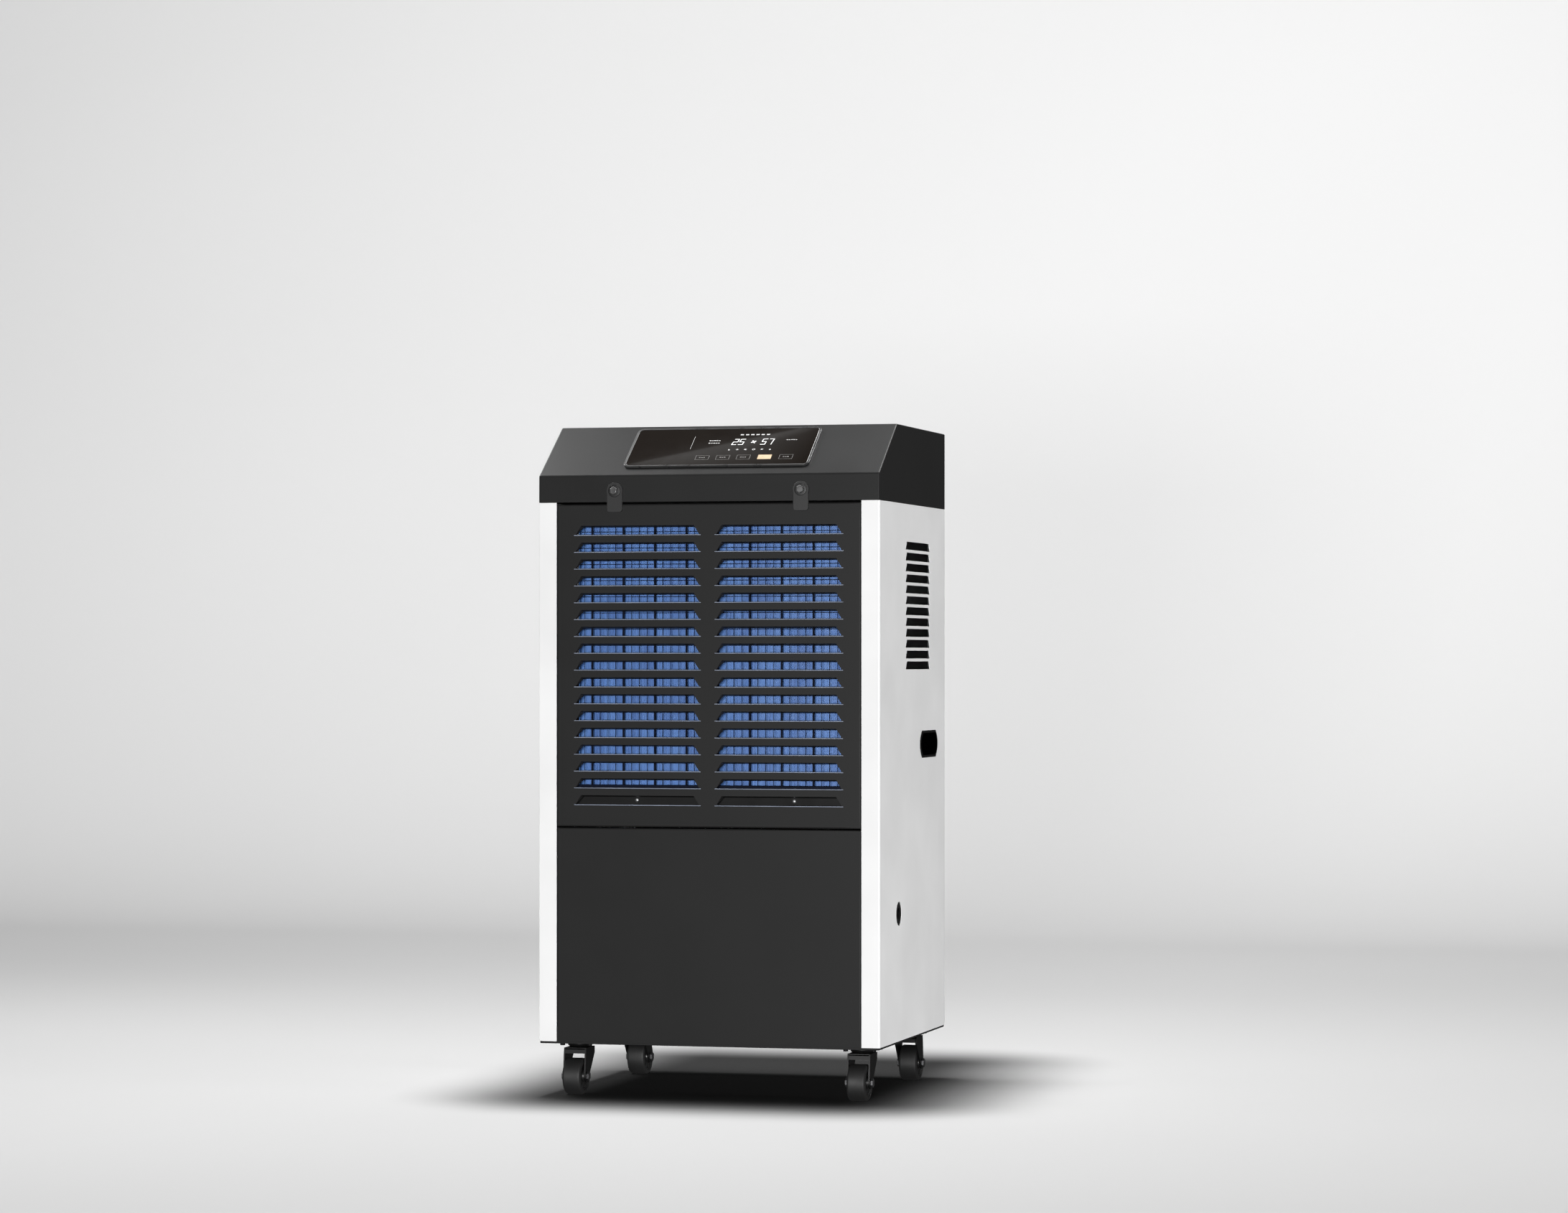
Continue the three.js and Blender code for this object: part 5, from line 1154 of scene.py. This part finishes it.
def caster_wheel_tyre(bm, centre):
    half, radius = WHEEL_WIDTH / 2, WHEEL_RADIUS
    corner = 3.4 * MM
    rim = radius - 6.5 * MM
    tread = [(radius - corner + corner * math.sin(t), half - corner + corner * math.cos(t))
             for t in quarter_turn(6)]
    outline = [(rim, half - 1.2 * MM), (rim + MM, half)] + tread
    outline += [(r, -x) for r, x in reversed(outline)]
    add_turned(bm, outline, centre, X, 72, closed=True)


def caster_wheel_hub(bm, centre):
    half, rim = WHEEL_WIDTH / 2, WHEEL_RADIUS - 6.6 * MM
    side = [(4.5 * MM, half), (7.5 * MM, half), (8.2 * MM, half - 2.6 * MM), (rim - 2 * MM, half - 3.4 * MM),
            (rim - 1.2 * MM, half - 1.4 * MM), (rim, half - 1.4 * MM)]
    outline = side + [(r, -x) for r, x in reversed(side)]
    add_turned(bm, outline, centre, X, 60, closed=True)
    for i in range(6):
        for sign in (-1, 1):
            rib = add_box(bm, (sign * (half - 4.5 * MM), sign * (half - 1.8 * MM)), (7 * MM, rim - MM),
                          (-0.8 * MM, 0.8 * MM))
            turn = Matrix.Translation(centre) @ Matrix.Rotation(math.pi / 3 * i, 4, "X")
            bmesh.ops.transform(bm, verts=rib, matrix=turn)


def caster_plate(bm, low, high, middle):
    """The top plate with its race, kingpin head and four bolts, in the cabinet's frame."""
    plate = add_box(bm, (low.x, high.x), (low.y, high.y), (high.z - 2.5 * MM, high.z))
    upright = [e for e in {e for v in plate for e in v.link_edges}
               if abs(e.verts[0].co.z - e.verts[1].co.z) > MM]
    soften(bm, upright, 6 * MM, 5)
    top = high.z - 2.4 * MM
    race = [(0, top), (17 * MM, top), (17.5 * MM, top - 2 * MM), (16.5 * MM, top - 4.2 * MM),
            (15 * MM, top - 5.6 * MM), (5 * MM, top - 5.7 * MM), (5 * MM, low.z + 4.2 * MM),
            (8 * MM, low.z + 4 * MM), (8 * MM, low.z + 2 * MM), (6 * MM, low.z), (0, low.z)]
    add_turned(bm, race, middle, Z, 40)
    for x in (-1, 1):
        for y in (-1, 1):
            at = middle + Vector((x * 19.5 * MM, y * 19.5 * MM, high.z - 2.4 * MM))
            add_rod(bm, at, at - Z * 3.4 * MM, 3.6 * MM, 6)


def casters():
    for place, trail in (("front_left", -1), ("front_right", -1), ("rear_left", 1), ("rear_right", 1)):
        low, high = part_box(f"caster_plate_{place}")
        middle = Vector(((low.x + high.x) / 2, (low.y + high.y) / 2, 0))
        turn = Matrix.Translation(middle) @ Matrix.Rotation(0 if trail > 0 else math.pi, 4, "Z")
        swivel, wheel = f"caster_{place}", f"wheel_{place}"

        plate = bmesh.new()
        caster_plate(plate, low, high, middle)
        finish_piece(f"caster_top_plate_{place}", plate, ENAMEL, "cabinet", f"caster_plate_{place}",
                     edge=0.3 * MM)

        fork = bmesh.new()
        caster_fork(fork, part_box(f"caster_fork_{place}")[1].z)
        bmesh.ops.transform(fork, verts=fork.verts, matrix=turn)
        finish_piece(f"caster_pressed_fork_{place}", fork, ENAMEL, swivel, f"caster_fork_{place}",
                     edge=0.5 * MM)

        axle_centre = Vector((0, CASTER_TRAIL, WHEEL_RADIUS))
        axle = bmesh.new()
        add_rod(axle, axle_centre - X * 17 * MM, axle_centre + X * 17 * MM, 4 * MM, 24)
        for sign in (-1, 1):
            start = axle_centre + X * sign * 16.3 * MM
            add_rod(axle, start, start + X * sign * 3.2 * MM, 6.3 * MM, 6)
            add_rod(axle, start + X * sign * 2 * MM, start + X * sign * 3.5 * MM, 3 * MM, 20)
        bmesh.ops.transform(axle, verts=axle.verts, matrix=turn)
        finish_piece(f"caster_axle_bolt_{place}", axle, DARK_STEEL, swivel, f"caster_axle_{place}",
                     edge=0.3 * MM)

        for part, maker, material, stands_for in (
                ("tyre", caster_wheel_tyre, TREAD, f"caster_wheel_{place}"),
                ("hub", caster_wheel_hub, HUB_PLASTIC, ())):
            bm = bmesh.new()
            maker(bm, axle_centre)
            bmesh.ops.transform(bm, verts=bm.verts, matrix=turn)
            finish_piece(f"caster_{part}_{place}", bm, material, wheel, stands_for)


# ------------------------------------------------------------------ the object

intake_panel()
lower_panel()
side_panels()
handle_cup("right", 1)
handle_cup("left", -1)
cover()
controls()
latches()
filter_net()
fin_pack("evaporator_coil", "evaporator_fins", BLUE_FIN)
fin_pack("condenser_coil", "condenser_fins", PLAIN_FIN)
drip_tray()
fan()
fan_motor()
fan_guard()
shroud()
rear()
drain()
compressor()
accumulator()
pipes()
electrics()
softened_node("base_pan", "base_pan_sheet", CHARCOAL, edge=0.5 * MM)
softened_node("mid_deck", "mid_deck_sheet", ZINC, edge=0.3 * MM)
casters()

# ------------------------------------------------------------------ floor, backdrop and lights

PAPER = (0.62, 0.62, 0.62)
SHADOW_TONE = 0.04              # depth of the painted shadow: the paper's tone right under the machine, as a share of its own
SHADOW_BLEND = 0.30             # how far the painted shadow takes to fade out
SHADOW_HALF = (0.17, 0.30)      # half the painted shadow's width and depth before it fades
SHADOW_MIDDLE_Y = 0.12
BACKDROP_GLOW = 0.12           # lifts the far floor and the wall, and leaves the near floor alone
GLOW_START, GLOW_FULL = 0.4, 4.5
WALL_Y, WALL_TOP, BEND = 5.7, 8.0, 2.5
FLOOR_REACH = 9.0              # to the left, to the right and towards the camera
CARD_GLOW = 0.45
WORLD_LIGHT = 0.06


def paint_shadow_under_machine(finish, x, y):
    """A painted shadow on the floor round the casters: a soft dark patch, deeper than the lights alone give.
    """
    nodes, links = finish.nodes, finish.links

    def maths(operation, first, second=0.0):
        node = nodes.new("ShaderNodeMath")
        node.operation = operation
        for socket, value in zip(node.inputs, (first, second)):
            if isinstance(value, (int, float)):
                socket.default_value = value
            else:
                links.new(value, socket)
        return node.outputs["Value"]

    def squared_reach(place, half):
        """How far a place lies past a half width, squared, and nothing inside it."""
        past = maths("SUBTRACT", maths("ABSOLUTE", place), half)
        return maths("POWER", maths("MAXIMUM", past), 2.0)

    shifted = maths("SUBTRACT", y, SHADOW_MIDDLE_Y)
    away = maths("SQRT", maths("ADD", squared_reach(x, SHADOW_HALF[0]), squared_reach(shifted, SHADOW_HALF[1])))
    tone = finish.between(away, SHADOW_TONE, 1.0, 0.0, SHADOW_BLEND, "SMOOTHSTEP")
    base = finish.shader.inputs["Base Color"]
    mixed = nodes.new("ShaderNodeVectorMath")
    mixed.operation = "SCALE"
    links.new(base.links[0].from_socket, mixed.inputs[0])
    links.new(tone, mixed.inputs["Scale"])
    links.new(mixed.outputs["Vector"], base)


def stage_material(name, colour):
    """Pale paper with a painted shadow under the machine and a faint glow towards the wall."""
    finish = Finish(name).set(Roughness=0.9, Specular_IOR_Level=0.1, Emission_Color=(1.0, 1.0, 1.0))
    finish.colours(finish.noise(0.6, detail=1), shade(colour, 0.985), shade(colour, 1.015))
    place = finish.nodes.new("ShaderNodeSeparateXYZ")
    finish.links.new(finish.place, place.inputs["Vector"])
    # paints a shadow under the machine into the paper's colour
    paint_shadow_under_machine(finish, place.outputs["X"], place.outputs["Y"])
    glow = finish.between(place.outputs["Y"], 0.0, BACKDROP_GLOW, GLOW_START, GLOW_FULL, "SMOOTHSTEP")
    finish.links.new(glow, finish.shader.inputs["Emission Strength"])
    return finish.material


def sweep():
    """A pale floor that curves up into a pale wall, and isn't mirrored or bounced in the machine."""
    bm = bmesh.new()
    bend_start = WALL_Y - BEND
    profile = [(-FLOOR_REACH, 0.0), (bend_start, 0.0)]
    profile += [(bend_start + BEND * math.sin(t), BEND - BEND * math.cos(t)) for t in quarter_turn(16)[1:]]
    profile += [(WALL_Y, WALL_TOP)]
    line = [bm.verts.new((-FLOOR_REACH, y, z)) for y, z in profile]
    edges = [bm.edges.new(pair) for pair in zip(line, line[1:])]
    grown = bmesh.ops.extrude_edge_only(bm, edges=edges)["geom"]
    bmesh.ops.translate(bm, verts=verts_of(grown), vec=X * 2 * FLOOR_REACH)
    sheet = object_from("backdrop", bm, stage_material("backdrop_paper", PAPER))
    sheet.visible_glossy = False
    sheet.visible_diffuse = False


def soft_light(name, location, target, size, power, spread=180.0, lights_only=None, receivers=None):
    data = bpy.data.lights.new(name, "AREA")
    data.shape = "RECTANGLE"
    data.size, data.size_y = size
    data.energy = power
    data.spread = math.radians(spread)
    light = bpy.data.objects.new(name, data)
    light.location = location
    light.rotation_euler = (Vector(target) - Vector(location)).to_track_quat("-Z", "Y").to_euler()
    light.visible_camera = False
    light.visible_diffuse = lights_only != "gloss"
    light.visible_glossy = lights_only != "colour"
    if receivers is not None:
        light.light_linking.receiver_collection = receivers
    bpy.context.scene.collection.objects.link(light)


def reflection_card():
    """A dim card behind and above, seen only in the control glass as a slanting gleam."""
    glass_point = ON_SLOPE @ Vector((CONTROL_X, 68 * MM, GLASS_TOP))
    eye = Vector(CAMERA_PLACE)

    def mirrored(ray):
        return ray - 2 * ray.dot(SLOPE_NORMAL) * SLOPE_NORMAL

    main = mirrored((glass_point - eye).normalized())
    plane = glass_point + main * 1.4

    def seen(x, s):
        """Where a ray from the camera goes after the glass at (x, s)."""
        at = ON_SLOPE @ Vector((x * MM, s * MM, GLASS_TOP))
        bounced = mirrored((at - eye).normalized())
        return at + bounced * ((plane - at).dot(main) / bounced.dot(main))

    bm = bmesh.new()
    corners = [(-122, 22, 0.9), (108, 116, 1.0), (140, 116, 0.15), (140, 20, 0.03), (30, 16, 0.25)]
    verts = [bm.verts.new(seen(x, s)) for x, s, _ in corners]
    centre = bm.verts.new(seen(20, 52))
    for one, other in zip(verts, verts[1:] + verts[:1]):
        bm.faces.new((one, other, centre))
    material = bpy.data.materials.new("card_glow")
    material.use_nodes = True
    nodes, links = material.node_tree.nodes, material.node_tree.links
    nodes.remove(nodes["Principled BSDF"])
    emission = nodes.new("ShaderNodeEmission")
    emission.inputs["Strength"].default_value = CARD_GLOW
    source = nodes.new("ShaderNodeAttribute")
    source.attribute_name = "glow"
    links.new(source.outputs["Color"], emission.inputs["Color"])
    links.new(emission.outputs["Emission"], nodes["Material Output"].inputs["Surface"])
    card = object_from("reflection_card", bm, material)
    glow = card.data.color_attributes.new("glow", "FLOAT_COLOR", "POINT")
    for i, value in enumerate([strength for _, _, strength in corners] + [0.55]):
        glow.data[i].color = (value, value, value, 1)
    card.visible_camera = False
    card.visible_diffuse = False
    card.visible_shadow = False


def lighting():
    """A key overhead, level fills low all round, two lights seen only as a sheen on the slope, and a
    wash on the wall. The front and right fills skip the rear panel, so the side's slots stay dark."""
    world = bpy.data.worlds.new("studio")
    bpy.context.scene.world = world
    world.use_nodes = True
    background = world.node_tree.nodes["Background"]
    background.inputs["Color"].default_value = (1.0, 1.0, 1.0, 1)
    background.inputs["Strength"].default_value = WORLD_LIGHT
    middle = (0, 0, 0.45)
    front_pieces = bpy.data.collections.new("all_but_the_rear_panel")
    machine = bpy.data.collections.new("all_but_the_backdrop")
    for piece in [thing for thing in bpy.context.scene.objects if thing.type == "MESH"]:
        if not piece.name.startswith("rear_panel"):
            front_pieces.objects.link(piece)
        if piece.name != "backdrop":
            machine.objects.link(piece)
    soft_light("key", (-0.2, 0.25, 4.3), (0, 0, 0.2), (0.9, 0.8), 205, lights_only="colour")
    soft_light("front_fill", (0.9, -7.0, 0.50), middle, (2.0, 0.6), 460, receivers=front_pieces)
    soft_light("right_fill", (6.5, -0.9, 0.45), middle, (1.6, 0.6), 275, lights_only="colour",
               receivers=front_pieces)
    soft_light("left_fill", (-6.5, -0.6, 0.45), middle, (1.6, 0.6), 210, lights_only="colour")
    soft_light("rear_fill", (0.0, 3.0, 0.50), middle, (0.4, 0.5), 70, lights_only="colour", receivers=machine)
    soft_light("right_sheen", (0.75, 0.6, 2.9), (0, -0.1, 0.8), (1.5, 1.2), 110, lights_only="gloss")
    soft_light("left_sheen", (-1.9, 0.6, 2.9), (0, -0.1, 0.8), (1.5, 1.2), 165, lights_only="gloss")
    soft_light("wall_wash", (0, 2.4, 4.6), (0, 6.2, 1.6), (8.0, 1.2), 72, spread=120)
    bpy.context.scene.view_settings.view_transform = "Standard"


sweep()
lighting()
reflection_card()
